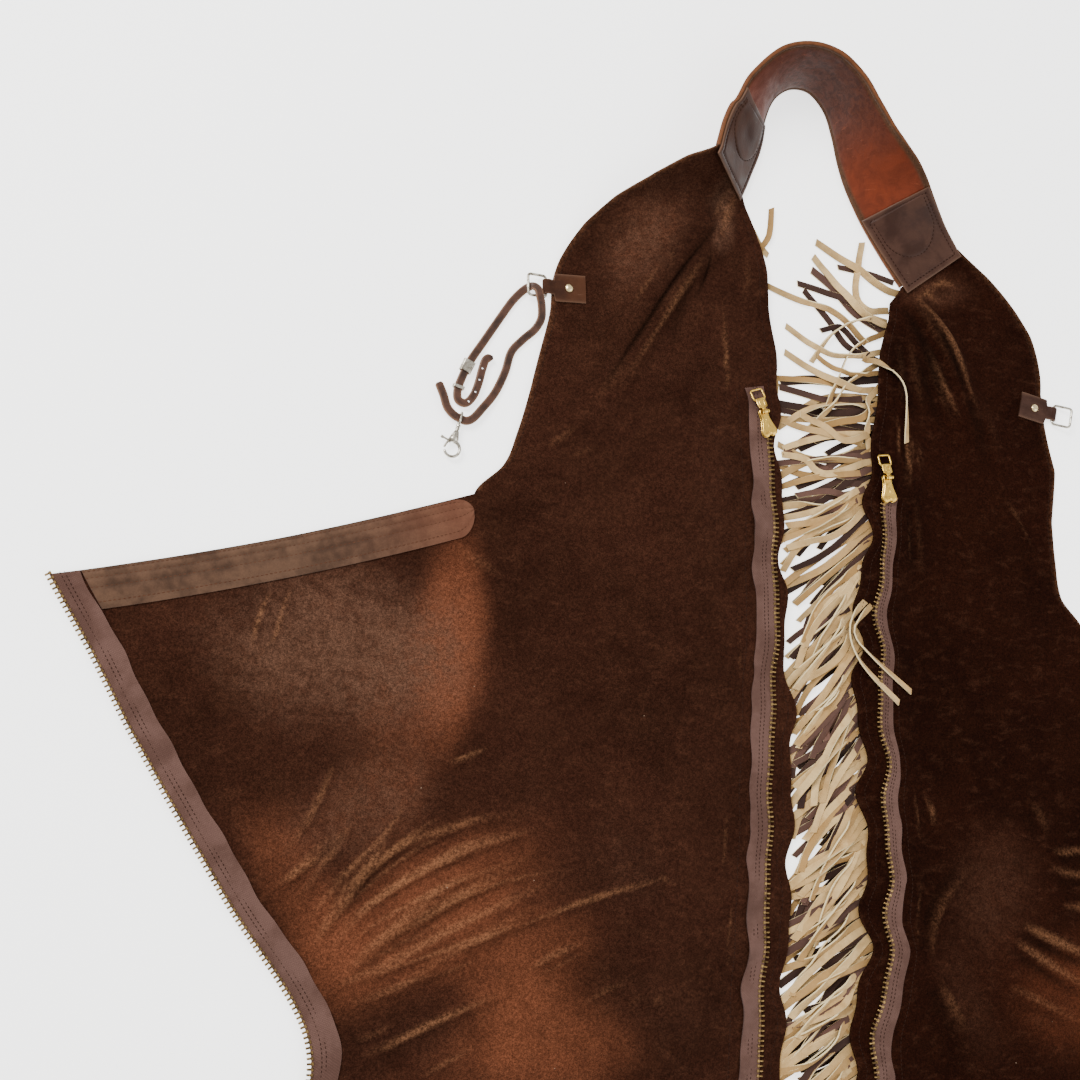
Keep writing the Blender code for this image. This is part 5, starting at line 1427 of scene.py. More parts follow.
def belt_finish():
    made, tree, shader = new_finish("belt_leather", 0.55, specular=0.1)
    where = place_on(tree)
    uv = add(tree, "ShaderNodeUVMap", {}, uv_map="weave").outputs["UV"]
    split = add(tree, "ShaderNodeSeparateXYZ", {"Vector": uv})
    across, along = split.outputs["X"], split.outputs["Y"]
    patchy = cloudy(tree, where, 45, 5, 0.65, 0.5)
    crackle = cloudy(tree, where, 240, 5, 0.7, 0.6)
    scuffs = cloudy(tree, place_on(tree, (1, 7, 1), 50), 60, 4, 0.7, 0.4)
    bent = maths(tree, "MULTIPLY", spread(tree, along, 40, 110), spread(tree, along, 235, 150))
    red = mix(tree, spread(tree, patchy, 0.35, 0.68), srgb(106, 46, 26), srgb(84, 36, 20))
    brown = mix(tree, spread(tree, crackle, 0.36, 0.62), srgb(50, 23, 12), srgb(70, 34, 20))
    color = mix(tree, bent, red, brown)
    color = mix(tree, spread(tree, scuffs, 0.6, 0.78, 0, 0.45), color, srgb(152, 80, 52))
    inside = maths(tree, "MULTIPLY", spread(tree, across, 3, 6.5), spread(tree, across, 57.5, 54))
    color = mix(tree, inside, mix(tree, crackle, srgb(38, 22, 14), srgb(90, 62, 42)), color)
    rim = mix(tree, crackle, srgb(58, 31, 18), srgb(118, 72, 42))
    color = mix(tree, stored(tree, "rim"), color, rim)
    dress(tree, shader, color, (crackle, 0.4, 0.0006), (scuffs, 0.12, 0.0004),
          Roughness=spread(tree, patchy, 0.3, 0.7, 0.36, 0.62))
    return made


half_face = [0.0, 0.35, 1.1, 2.2, 3.0, EDGE_STITCH, 3.8, 4.8, 8.0, 14.0, 22.0]
across = np.array(half_face + [BELT_WIDTH / 2] + [BELT_WIDTH - a for a in half_face[::-1]])
from_edge = np.minimum(across, BELT_WIDTH - across)
rounded = RIM_ROUND * np.clip(1 - from_edge / RIM_WIDTH, 0, 1) ** 2
groove = GROOVE * np.exp(-((from_edge - EDGE_STITCH) / GROOVE_HALF) ** 2)
distances = np.linspace(0, BELT_LENGTH, 190)
point, _, upward, facing_out = belt_frame(distances)
swell = [BELT_SWELL * noise.noise(Vector((d * 0.05, 4, 0))) for d in distances]
face = BELT - rounded - groove + np.array(swell)[:, None] * np.sin(math.pi * across / BELT_WIDTH)
place = point[:, None] + across[:, None] * upward[:, None]
front = place + face[..., None] * facing_out[:, None]
back = place + (rounded * 0.8)[:, None] * facing_out[:, None]
mesh = loft("belt", np.concatenate([front, back[:, ::-1]], axis=1))
columns = np.concatenate([across, across[::-1]])
uv = np.stack(np.broadcast_arrays(columns, distances[:, None]), -1)
set_weave(mesh, uv.reshape(-1, 2))
rim = np.clip(1.4 - np.minimum(columns, BELT_WIDTH - columns) / 0.8, 0, 1)
rim = np.where(np.arange(len(columns)) < len(across), rim, 1.0)
add_values(mesh, rim=np.tile(rim, len(distances)))
belt = add_piece("belt", mesh, belt_finish(), replaces=["belt"], sharp=60)

point, _, upward, facing_out = belt_frame(np.linspace(2, BELT_LENGTH - 2, 120))
lines = [(point + upward * edge + facing_out * (BELT - 0.4), facing_out)
         for edge in (EDGE_STITCH, BELT_WIDTH - EDGE_STITCH)]
belt_stitches = add_along("belt_stitches", lines, STITCH, STITCH_PITCH,
                          BROWN_THREAD)


# --- the belt patches ---------------------------------------------------------------------------
# A square of smooth dark leather covers each joint of belt and suede. It is sewn round its border,
# and the belt's rounded end under it shows as a sewn, raised tongue.

PATCH, PATCH_OVERLAP, PATCH_INSET = 1.4, 7.0, 1.5
PATCH_BORDER, END_INSET, END_REACH = 4.4, 8.5, 46.0
BELT_SHARE_PATCHED = 0.2
SEAM_DIP, TONGUE_RISE, PATCH_SWELL = 0.55, 0.7, 0.35


def smooth_leather(name, dark, light, roughness=0.42):
    """Leather with pores and scratches, paler where the mesh says that it is worn."""
    made, tree, shader = new_finish(name, roughness, specular=0.12)
    where = place_on(tree)
    patchy = cloudy(tree, where, 50, 4, 0.6, 0.3)
    pores = add(tree, "ShaderNodeTexVoronoi",
                {"Vector": where, "Scale": 1100.0}).outputs["Distance"]
    scratches = cloudy(tree, place_on(tree, (1, 12, 1), -25), 90, 4, 0.7, 0.6)
    color = mix(tree, spread(tree, patchy, 0.34, 0.68), dark, light)
    color = mix(tree, spread(tree, scratches, 0.62, 0.8, 0, 0.4), color, srgb(140, 110, 92))
    color = mix(tree, stored(tree, "worn"), color, srgb(100, 74, 58))
    patches_shine = spread(tree, patchy, 0.3, 0.7, roughness - 0.08, roughness + 0.16)
    dress(tree, shader, color, (pores, 0.2, 0.0002), (patchy, 0.3, 0.001),
          (scratches, 0.12, 0.0002), Roughness=patches_shine)
    return made


def along_belt(leg, along):
    """Distances on the belt of distances from the end of a patch that lies on the leg."""
    return along - PATCH_OVERLAP if leg is LEFT else BELT_LENGTH + PATCH_OVERLAP - along


def on_patch(leg, p, q, lift):
    """Places and upward directions on a patch, p from its panel end and q across."""
    at, _, out_to, out = belt_frame(along_belt(leg, p))
    return at + np.asarray(q)[:, None] * out_to + (BELT + GAP + PATCH + lift) * out, out


PATCH_FINISH = smooth_leather("patch_leather", srgb(46, 27, 20), srgb(64, 42, 33))
PATCH_LENGTH = BELT_LENGTH * BELT_SHARE_PATCHED + PATCH_OVERLAP
for leg in (LEFT, RIGHT):
    along = np.linspace(0, PATCH_LENGTH, 86)
    a = np.linspace(PATCH_INSET, BELT_WIDTH - PATCH_INSET, 66)
    point, _, upward, facing_out = belt_frame(along_belt(leg, along))
    off_side = np.minimum(a - PATCH_INSET, BELT_WIDTH - PATCH_INSET - a)
    off_end = np.minimum(along, PATCH_LENGTH - along)
    in_border = np.minimum(off_side, off_end[:, None])
    sewn = SEAM_DIP * np.exp(-((in_border - PATCH_BORDER) / 0.75) ** 2)
    aside = a - BELT_WIDTH / 2
    half = BELT_WIDTH / 2 - END_INSET
    to_end = END_REACH - half - (PATCH_LENGTH - along[:, None])
    inward = half - np.where(to_end > 0, np.abs(aside), np.hypot(aside, to_end))
    tongue = TONGUE_RISE / (1 + np.exp(-inward / 0.8)) - 0.4 * np.exp(-((inward + 0.3) / 0.7) ** 2)
    worn = np.exp(-in_border / 0.9) * 0.8
    soft = [[PATCH_SWELL * noise.noise(Vector((p * 0.06, q * 0.06, leg.side))) for q in a]
            for p in along]
    high = PATCH + np.where(in_border > PATCH_BORDER, tongue, 0) + np.array(soft) - sewn
    high -= SEAM_DIP * np.exp(-in_border / 0.5)
    place = point[:, None] + a[:, None] * upward[:, None]
    low = place + (BELT + GAP) * facing_out[:, None]
    mesh, kept = shell("belt_patch_" + leg.name, low, low + high[..., None] * facing_out[:, None])
    add_values(mesh, worn=worn.ravel()[kept])
    patch = add_piece("belt_patch_" + leg.name, mesh, PATCH_FINISH,
                      replaces=["belt_patch_" + leg.name])

    near, far = PATCH_INSET + PATCH_BORDER, BELT_WIDTH - PATCH_INSET - PATCH_BORDER
    box_p = np.concatenate([np.linspace(PATCH_BORDER, PATCH_LENGTH - PATCH_BORDER, 40),
                            np.full(20, PATCH_LENGTH - PATCH_BORDER)])
    box_q = np.concatenate([np.full(40, near), np.linspace(near, far, 20)])
    turn = np.radians(np.linspace(-90, 90, 30))
    ends = [PATCH_LENGTH - 8]
    u_p = np.concatenate([ends, PATCH_LENGTH - END_REACH + half * (1 - np.cos(turn)), ends])
    u_q = BELT_WIDTH / 2 + np.concatenate([[-half], half * np.sin(turn), [half]])
    lines = [on_patch(leg, box_p, box_q, -0.3),
             on_patch(leg, PATCH_LENGTH - box_p, BELT_WIDTH - box_q, -0.3),
             on_patch(leg, u_p, u_q, 0.1)]
    with_panel[leg.name] += [patch, add_along("patch_stitches_" + leg.name, lines,
                                              STITCH, STITCH_PITCH, DARK_THREAD)]


# --- the waist tabs with their rivets and rings -------------------------------------------------
# A folded tab of leather on each front, held by one domed rivet, loops round a wire ring. The left
# tab is lighter, rough side out.

WIRE = 1.0
# A profile that is turned ends at this radius, which is as good as none
NOTHING = 0.01
TAB_LENGTH, TAB_WIDTH, TONGUE_WIDTH, TONGUE_REACH = 26.0, 21.0, 11.0, 20.5
RING_LENGTH, RING_WIDTH, RING_CORNER, RING_TILT = 15.0, 16.0, 2.4, 14.0

Tab = namedtuple("Tab", "name x y heading")
TABS = (Tab("left", 26, 188, 180), Tab("right", 420, 117, -14))
BAR = TONGUE_REACH - WIRE - GAP - PATCH
BAR_HEIGHT = PATCH + GAP + WIRE


def placed(mesh, place, degrees, axis="Z"):
    """Turns a mesh about one of its own axes and moves its zero to a place."""
    mesh.transform(Matrix.Translation(place) @ Matrix.Rotation(math.radians(degrees), 4, axis))
    return mesh


def tube(path, radius, sides=12, closed=False, squash=1.0):
    """Rings of points round a path, each ring square to it."""
    path = np.asarray(path, float)
    if closed:
        ahead = unit(np.roll(path, -1, axis=0) - np.roll(path, 1, axis=0))
    else:
        ahead = unit(np.gradient(path, axis=0))
    aside = np.cross(ahead, (0.0, 0.0, 1.0))
    steep = np.linalg.norm(aside, axis=1, keepdims=True) < 0.2
    aside = np.where(steep, (0.0, 1.0, 0.0), aside)
    aside = unit(aside - ahead * np.sum(aside * ahead, axis=1, keepdims=True))
    up = np.cross(aside, ahead)
    turn = np.linspace(0, 2 * math.pi, sides, endpoint=False)
    radius = np.broadcast_to(radius, len(path))[:, None, None]
    return (path[:, None] + radius * (np.cos(turn)[:, None] * aside[:, None]
                                      + squash * np.sin(turn)[:, None] * up[:, None]))


def turned(profile, sides=24):
    """Rings round the X axis from rows of (along, radius)."""
    rows = np.array(profile, float)
    turn = np.linspace(0, 2 * math.pi, sides, endpoint=False)
    ring = np.stack([np.zeros(sides), np.cos(turn), np.sin(turn)], -1)
    return ring * rows[:, 1:, None] + rows[:, :1, None] * np.array((1.0, 0.0, 0.0))


def drum(name, half, radius, sides=16):
    """A plain cylinder along X."""
    profile = ((-half, NOTHING), (-half, radius), (half, radius), (half, NOTHING))
    return loft(name, turned(profile, sides))


def rounded_loop(length, width, corner, steps=12):
    """A closed path round a rectangle with rounded corners, centred."""
    points = []
    for x, y, start in ((1, 1, 0), (-1, 1, 90), (-1, -1, 180), (1, -1, 270)):
        middle = np.array((x * (length / 2 - corner), y * (width / 2 - corner)))
        for angle in np.radians(start + np.linspace(0, 90, steps // 2)):
            points.append((*(middle + corner * np.array((math.cos(angle), math.sin(angle)))), 0.0))
    return np.array(points)


def as_one(name, meshes):
    """Several meshes joined in one."""
    bm = bmesh.new()
    for mesh in meshes:
        bm.from_mesh(mesh)
        bpy.data.meshes.remove(mesh)
    return mesh_from(name, bm)


ROUGH_TAB = smooth_leather("tab_leather", srgb(46, 26, 17), srgb(68, 41, 27), 0.9)
RIVET_BRASS = metal_finish("rivet_brass", srgb(226, 206, 160), srgb(150, 118, 74), 0.22, 0.55)
NICKEL = metal_finish("nickel", srgb(204, 198, 184), srgb(96, 86, 72), 0.22, 0.46)
RIVET_PROFILE = ((-0.3, NOTHING), (-0.3, 3.2), (0.15, 3.2), (0.5, 3.05), (0.95, 2.5), (1.35, 1.5),
                 (1.45, 1.1), (1.3, 0.6), (1.28, NOTHING))
TAB_SWELL, TAB_ROUND = 0.25, 0.35
for tab in TABS:
    base = SUEDE + GAP
    fold = WIRE + GAP
    # Rows along the tab, each its place along, height, half width and the angle that it faces
    profile = [(-TAB_LENGTH / 2, base, TAB_WIDTH / 2, 90), (-4, base, TAB_WIDTH / 2, 90),
               (6, base, TAB_WIDTH / 2, 90), (10.5, base, TAB_WIDTH / 2, 90),
               (11.6, base + 0.3, TONGUE_WIDTH / 2, 98),
               (BAR - 2, BAR_HEIGHT + fold, TONGUE_WIDTH / 2, 96)]
    for angle in range(90, -91, -30):
        turn = math.radians(angle)
        profile.append((BAR + fold * math.cos(turn), BAR_HEIGHT + fold * math.sin(turn),
                        TONGUE_WIDTH / 2, angle))
    rows = np.array(profile)
    rows = np.stack([np.interp(np.linspace(0, len(rows) - 1, 6 * len(rows)),
                               np.arange(len(rows)), rows[:, k]) for k in range(4)], -1)
    across = np.sin(np.radians(np.linspace(-90, 90, 15)))
    out = np.radians(rows[:, 3:])
    low = np.stack(np.broadcast_arrays(rows[:, :1], rows[:, 2:3] * across, rows[:, 1:2]), -1)
    lift = np.array([[TAB_SWELL * noise.noise(Vector((p[0] * 0.1, p[1] * 0.1, tab.x)))
                      for p in row] for row in low])
    thick = (PATCH - TAB_ROUND * np.abs(across) ** 6 + lift)[..., None]
    outward = np.stack([np.cos(out), 0 * out, np.sin(out)], -1)
    mesh, kept = shell("front_tab_" + tab.name, low, low + outward * thick)
    worn = np.broadcast_to(np.abs(across) ** 12, low.shape[:2]) * 0.7
    add_values(mesh, worn=worn.ravel()[kept])
    finish = ROUGH_TAB if tab.name == "left" else PATCH_FINISH
    middle = (tab.x, tab.y, 0)
    tab_piece = add_piece("front_tab_" + tab.name, placed(mesh, middle, tab.heading),
                          finish, replaces=["front_tab_" + tab.name])
    mesh = loft("rivet_" + tab.name, turned(RIVET_PROFILE, 32))
    placed(mesh, (0, 0, base + PATCH + GAP), -90, "Y")
    rivet = add_piece("rivet_" + tab.name, placed(mesh, middle, tab.heading),
                      RIVET_BRASS, replaces=["rivet_" + tab.name], sharp=40)
    path = rounded_loop(RING_LENGTH, RING_WIDTH, RING_CORNER, 16) + (RING_LENGTH / 2, 0, 0)
    mesh = loft("tab_ring_" + tab.name, tube(path, WIRE, 14, closed=True), closed=True)
    placed(mesh, (BAR, 0, BAR_HEIGHT), -RING_TILT, "Y")
    ring = add_piece("tab_ring_" + tab.name, placed(mesh, middle, tab.heading),
                     NICKEL, replaces=["tab_ring_" + tab.name])
    with_panel[tab.name] += [tab_piece, rivet, ring]


# --- the strap with its keeper and buckle -------------------------------------------------------
# A narrow dark strap runs through the left ring and back, holds a swivel snap, and is buckled on
# itself. Its punched tail stands free, hooked round.

STRAP_WIDTH, STRAP = 6.0, 2.2
STRAP_HOLES, HOLE_ALONG, HOLE_ACROSS = (13.0, 22.0, 31.0, 40.0), 0.85, 0.8
STRAP_STEP, BAND_HEIGHT = 0.8, 2.4

# The strap's middle line from its punched end, through the ring and back to the snap
Route = namedtuple("Route", "x y height")
STRAP_ROUTE = [Route(*row) for row in (
    (-33.5, 131.5, 2.4), (-38.5, 130, 2.4), (-41.5, 122.5, 2.4), (-44.5, 112, 2.4),
    (-48.5, 102.5, 2.4), (-54, 97, 2.4), (-59.5, 99, 2.4), (-60, 106, 2.4), (-56.4, 116, 2.4),
    (-50, 128.5, 2.4), (-40, 143, 0.6), (-27, 162, 0.3), (-17, 176, 0.3), (-8, 185, 0.3),
    (-2.5, 187.2, 2.6), (0.8, 184.6, 5.4), (1.8, 179.5, 6.6), (3.6, 172, 4.8), (3.6, 163, 2.6),
    (-1, 155, 0.6), (-10, 147, 0.3), (-19, 137, 0.3), (-24, 122, 0.3), (-32, 106, 0.8),
    (-42.5, 93, 2.6), (-49, 86, 3), (-54, 83.8, 3), (-58.5, 85.2, 3), (-63.5, 88, 3),
    (-68, 93.5, 3), (-70.5, 102, 3), (-74, 111, 3),
)]


def strap_finish():
    made, tree, shader = new_finish("strap_leather", 0.5, coat=0.03, specular=0.25)
    patchy = cloudy(tree, place_on(tree), 120, 4, 0.6, 0.3)
    color = mix(tree, spread(tree, patchy, 0.35, 0.66), srgb(44, 27, 19), srgb(72, 46, 34))
    color = mix(tree, stored(tree, "worn"), color, srgb(124, 90, 66))
    dress(tree, shader, color, (patchy, 0.3, 0.0005))
    return made


dense = smooth(STRAP_ROUTE, np.linspace(0, len(STRAP_ROUTE) - 1, 1200))
lengths = added_up(np.linalg.norm(np.diff(dense, axis=0), axis=1))
along = np.linspace(0, lengths[-1], int(lengths[-1] / STRAP_STEP))
route = np.stack([np.interp(along, lengths, dense[:, k]) for k in range(3)], -1)
ahead = unit(np.gradient(route, axis=0))
aside = unit(np.cross(ahead, (0.0, 0.0, 1.0)))
up = np.cross(aside, ahead)
across = np.array((-3, -2.75, -2.2, -1.5, -0.75, 0, 0.75, 1.5, 2.2, 2.75, 3.0))
edge = 0.55 * np.clip((np.abs(across) - 2.1) / 0.9, 0, 1) ** 2
narrowed = np.clip(0.45 + along / 5, 0, 1) * np.clip(0.6 + (lengths[-1] - along) / 3, 0, 1)
centre = route[:, None] + aside[:, None] * across[:, None] * narrowed[:, None, None]
high = centre + (STRAP - edge)[:, None] * up[:, None]
low = centre + edge[:, None] * up[:, None]
solid = np.ones((len(along) - 1, len(across) - 1), bool)
cell_along, cell_across = (along[1:] + along[:-1]) / 2, (across[1:] + across[:-1]) / 2
for hole in STRAP_HOLES:
    in_hole = np.abs(cell_along - hole)[:, None] < HOLE_ALONG
    solid &= ~(in_hole & (np.abs(cell_across) <= HOLE_ACROSS))
mesh, kept = shell("strap", low, high, solid)
worn = np.broadcast_to(np.clip((np.abs(across) - 1.9) / 0.9, 0, 1), low.shape[:2])
add_values(mesh, worn=0.8 * worn.ravel()[kept])
add_piece("strap", mesh, strap_finish(), replaces=["strap"], sharp=45)

Band = namedtuple("Band", "name x y heading length wall")
for band in (Band("keeper", -52.6, 124, 63, 9.0, 0.9), Band("buckle", -59.3, 108.5, 72, 2.4, 0.8)):
    wide, deep = STRAP_WIDTH + 4 * GAP, STRAP + 4 * GAP
    inner = rounded_loop(wide, deep, 0.7)[:, :2]
    outer = rounded_loop(wide + 2 * band.wall, deep + 2 * band.wall, 0.7 + band.wall)[:, :2]
    half = band.length / 2
    ring = []
    for i, o in zip(inner, outer):
        rounded = (i + 2 * o) / 3
        ring.append([(-half + 0.2, *o), (half - 0.2, *o), (half, *rounded), (half, *i),
                     (-half, *i), (-half, *rounded)])
    mesh = placed(loft(band.name, ring, closed=True), (band.x, band.y, BAND_HEIGHT + STRAP / 2),
                  band.heading)
    add_piece(band.name, mesh, NICKEL, replaces=[band.name], sharp=35)


# --- the swivel snap ----------------------------------------------------------------------------
# A cast nickel snap hangs from the strap by a squared eye. Its hook turns on the eye's shank, and
# a sprung gate with a thumb lever closes the hook.

EYE_X, EYE_Y, SNAP_HEADING, SNAP_HEIGHT = -58.5, 85.2, -106.0, 4.1
EYE_LENGTH, EYE_HEIGHT, EYE_WIRE = 4.3, 2.5, 0.9
SHANK_START, COLLAR_RADIUS, SHANK_RADIUS = 6.8, 1.7, 1.3
HOOK_CENTRE, HOOK_RADIUS, HOOK_WIRE = 23.0, 5.6, 1.15
GATE_WIRE, GATE_X, GATE_Y, LEVER_LENGTH = 0.8, 17.6, -3.8, 6.5
LUG_UP, EYE_STEPS = 1.5, 48


def on_hook(degrees):
    """Places on the hook's round middle line."""
    turn = np.radians(degrees)
    return np.stack([HOOK_CENTRE + HOOK_RADIUS * np.cos(turn), HOOK_RADIUS * np.sin(turn),
                     np.zeros_like(turn)], -1)


def add_snap(name, meshes, body):
    """A part of the snap, with the eye's middle as its zero and the hook along its X."""
    mesh = placed(as_one(name, meshes), (EYE_X, EYE_Y, SNAP_HEIGHT), SNAP_HEADING)
    add_piece(name, mesh, NICKEL, body=body, replaces=[name], sharp=40)


turn = np.linspace(0, 2 * math.pi, EYE_STEPS, endpoint=False)
squared = [np.sign(trig) * np.abs(trig) ** 0.6 for trig in (np.cos(turn), np.sin(turn))]
eye_path = np.stack([EYE_LENGTH * squared[0], 0 * turn, EYE_HEIGHT * squared[1]], -1)
eye_ring = []
angles = np.linspace(0, 2 * math.pi, 10, endpoint=False)[:, None]
for k, centre in enumerate(eye_path):
    ahead = unit(eye_path[(k + 1) % EYE_STEPS] - eye_path[k - 1])
    out = np.array((ahead[2], 0.0, -ahead[0]))
    eye_ring.append(centre + EYE_WIRE * (np.cos(angles) * out + np.sin(angles) * (0.0, 1.0, 0.0)))
collar = [(EYE_LENGTH + 0.3, NOTHING), (EYE_LENGTH + 0.3, 1.2), (EYE_LENGTH + 0.8, COLLAR_RADIUS),
          (SHANK_START - 0.7, COLLAR_RADIUS), (SHANK_START - GAP, SHANK_RADIUS),
          (SHANK_START - GAP, NOTHING)]
add_snap("snap_eye", [loft("eye", eye_ring, closed=True), loft("collar", turned(collar))],
         "garment")

cast = [(SHANK_START, NOTHING), (SHANK_START, 1.2), (SHANK_START + 0.4, 1.6), (8.0, 1.65),
        (8.4, 1.25), (9.3, 1.25), (9.8, 1.7), (11.5, 2.0), (13.6, 2.35), (15.8, 2.5), (17.4, 2.1),
        (18.1, 1.2), (18.1, NOTHING)]
body_rings = turned(cast)
body_rings[..., 1] *= np.interp(body_rings[..., 0], (9, 16), (1.0, 1.45))
body_rings[..., 1] -= np.interp(body_rings[..., 0], (9, 16), (0.0, 0.6))
angles = np.linspace(-68, 180, 44)
hook_radius = np.interp(angles, (-68, -60, 120, 180), (0.7, 1.05, HOOK_WIRE, 1.5))
lugs = [placed(drum("lug", 0.35, 1.6), (GATE_X - 0.3, GATE_Y + 0.6, side * LUG_UP), 90, "Y")
        for side in (-1, 1)]
add_snap("snap_hook", [loft("body", body_rings), loft("hook", tube(on_hook(angles), hook_radius)),
                       *lugs], "snap")

pivot = np.array((GATE_X, GATE_Y, 0.0))
arm_path = smooth(np.vstack([pivot, on_hook(np.array((-122.0, -100.0, -86.0)))]),
                  np.linspace(0, 3, 14))
lever_path = pivot + np.linspace(0, 1, 12)[:, None] * (-1.2, -LEVER_LENGTH, 0.0)
lever_width = np.interp(np.linspace(0, 1, 12), (0, 0.55, 0.85, 1), (0.8, 0.75, 1.25, 0.6))
barrel = placed(drum("barrel", 1.0, 0.9), pivot, 90, "Y")
add_snap("snap_gate", [barrel, loft("arm", tube(arm_path, GATE_WIRE)),
                       loft("lever", tube(lever_path, lever_width, squash=0.65))], "gate")


# --- the zip sliders and their pulls ------------------------------------------------------------
# Each zip has a cast brass slider that flares towards the hem, with two ears that carry a pin at
# its narrow end. The pull hangs on the pin: a barrel, a pressed plate and a flat rectangular loop.

SLIDER_HEIGHT, STAMPED_HEIGHT, BOSS_ALONG = 3.6, 3.2, -15.6
PIN_RADIUS, PIN_HALF, PIN_LIFT = 0.7, 2.9, 2.1
EAR_APART, EAR_HALF, EAR_RADIUS, EAR_FOOT = 2.4, 0.5, 1.5, 1.8
PULL_THICKNESS, PULL_TILT = 1.2, 13.0
HINGE_HALF, HINGE_WALL, HINGE_ROUND = 1.5, 0.8, 0.2
LOOP_LENGTH, LOOP_WIDTH, LOOP_MIDDLE, LOOP_WIRE = 8.2, 9.6, 14.7, 0.8
WINDOW_LENGTH, WINDOW_WIDTH, WINDOW_MIDDLE, WINDOW_WIRE = 5.0, 3.6, 7.0, 0.3
SLIDER_BASE = OVER_FRINGE + SUEDE + 0.9 + 3 * GAP
SLIDER_BRASS = metal_finish("slider_brass", srgb(226, 186, 92), srgb(140, 104, 42), 0.2, 0.55)

# The body's outline, from the pin to its mouth, as distances along from the pin and half widths
Flare = namedtuple("Flare", "along half")
SLIDER_OUTLINE = [Flare(*row) for row in (
    (3.6, 0), (3.3, 2), (1.6, 3.5), (-1.2, 3.6), (-4, 3.5), (-8, 4.3), (-12, 5.5), (-15, 6.2),
    (-17.2, 5.9), (-18.6, 4.2), (-18.9, 2.2), (-17.6, 0),
)]
# The body in layers: how high each lies and its share of the outline's size
Layer = namedtuple("Layer", "height size")
SLIDER_LAYERS = [Layer(*row) for row in (
    (0, 0.9), (0.25, 0.98), (1.1, 1), (1.3, 0.92), (2.1, 0.92), (2.3, 1), (2.9, 0.98), (3.3, 0.9),
    (3.5, 0.78), (3.3, 0.66), (3.3, 0.4),
)]
MIDDLE_ALONG = -8.0
# The diamond that stands up from the body's top: its foot and its top
DIAMOND = np.array([[(-12.4, 0, 0), (-9.6, 2.2, 0), (-5.6, 0, 0), (-9.6, -2.2, 0)],
                    [(-11.2, 0, 0.5), (-9.4, 1.1, 0.5), (-7.0, 0, 0.5), (-9.4, -1.1, 0.5)]])
BOSS_PROFILE = ((0.0, 1.5), (0.45, 1.3), (0.7, 0.7), (0.75, NOTHING))

# The pull's pressed plate: half widths at distances from the pin
PLATE = [Flare(*row) for row in (
    (1.5, 1.2), (2.6, 1.35), (3.3, 1.7), (3.8, 3.4), (4.6, 3.8), (6.8, 3.9), (9, 3.8), (10.2, 3.5),
    (11.2, 3.2)
)]

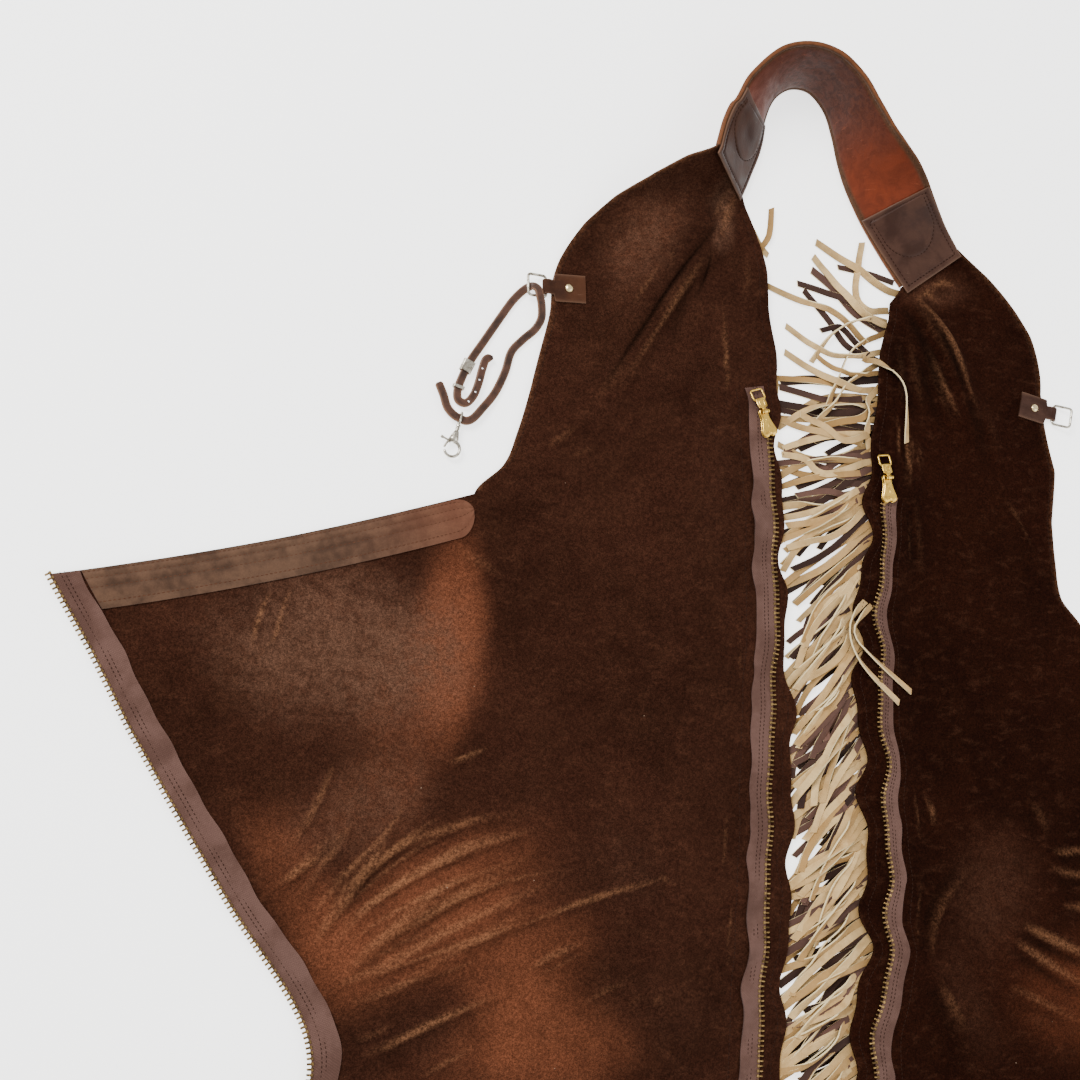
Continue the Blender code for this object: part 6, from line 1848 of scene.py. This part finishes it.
Slider = namedtuple("Slider", "name x y heading")
SLIDERS = (Slider("left", 176, 100, 107), Slider("right", 278, 53, 95))
for slider in SLIDERS:
    right_half = np.array(SLIDER_OUTLINE, float)
    left_half = right_half[-2:0:-1] * (1, -1)
    outline = np.vstack([right_half, left_half, right_half[:1]])
    outline = smooth(outline, np.linspace(0, len(outline) - 1, 67)[:-1])
    rings = []
    for layer in SLIDER_LAYERS:
        rings.append(np.column_stack([
            MIDDLE_ALONG + (outline[:, 0] - MIDDLE_ALONG) * layer.size, outline[:, 1] * layer.size,
            np.full(len(outline), SLIDER_BASE + layer.height)]))
    meshes = [loft("body", rings)]
    on_top = SLIDER_BASE + STAMPED_HEIGHT
    boss = placed(loft("boss", turned(BOSS_PROFILE, 16)), (BOSS_ALONG, 0, on_top), -90, "Y")
    meshes += [loft("diamond", DIAMOND + (0, 0, on_top)), boss]
    pin_height = SLIDER_BASE + SLIDER_HEIGHT + PIN_LIFT
    for side in (-1, 1):
        near, far = side * EAR_APART - EAR_HALF, side * EAR_APART + EAR_HALF
        ear = turned(((near, NOTHING), (near, EAR_RADIUS), (far, EAR_RADIUS), (far, NOTHING)), 20)
        ear[..., 2] = np.where(ear[..., 2] < 0, ear[..., 2] * EAR_FOOT, ear[..., 2])
        meshes.append(placed(loft("ear", ear), (0, 0, pin_height), 90))
    pin = turned(((-PIN_HALF, NOTHING), (-PIN_HALF, 0.5), (-2.7, PIN_RADIUS), (2.7, PIN_RADIUS),
                  (PIN_HALF, 0.5), (PIN_HALF, NOTHING)), 16)
    meshes.append(placed(loft("pin", pin), (0, 0, pin_height), 90))
    mesh = as_one("zip_slider_" + slider.name, meshes)
    placed(mesh, (slider.x, slider.y, 0), slider.heading)
    add_piece("zip_slider_" + slider.name, mesh, SLIDER_BRASS,
              replaces=["zip_slider_" + slider.name], sharp=40)

    bore, rind = PIN_RADIUS + GAP, PIN_RADIUS + GAP + HINGE_WALL
    half, shoulder = HINGE_HALF, HINGE_HALF - HINGE_ROUND
    hinge = turned(((-half, bore), (-half, rind - HINGE_ROUND), (-shoulder, rind), (shoulder, rind),
                    (half, rind - HINGE_ROUND), (half, bore)), 24)
    hinge = placed(loft("hinge", hinge.transpose(1, 0, 2), closed=True), (0, 0, 0), 90)
    section = rounded_loop(2, PULL_THICKNESS, 0.35, 8)[:, :2]
    plate = [np.column_stack([np.full(len(section), row.along), section[:, 0] * row.half,
                              section[:, 1]]) for row in PLATE]
    window = rounded_loop(WINDOW_LENGTH, WINDOW_WIDTH, 1.0, 12)
    window = tube(window + (WINDOW_MIDDLE, 0, PULL_THICKNESS / 2), WINDOW_WIRE, 8, closed=True)
    grip = rounded_loop(LOOP_LENGTH, LOOP_WIDTH, 1.6, 12) + (LOOP_MIDDLE, 0, 0)
    grip = tube(grip, LOOP_WIRE, 10, closed=True, squash=0.8)
    mesh = as_one("zip_pull_" + slider.name, [hinge, loft("plate", plate),
                                              loft("window", window, closed=True),
                                              loft("grip", grip, closed=True)])
    placed(mesh, (0, 0, 0), PULL_TILT, "Y")
    placed(mesh, (slider.x, slider.y, pin_height), slider.heading)
    add_piece("zip_pull_" + slider.name, mesh, SLIDER_BRASS, body="pull_" + slider.name,
              replaces=["zip_pull_" + slider.name], sharp=40)
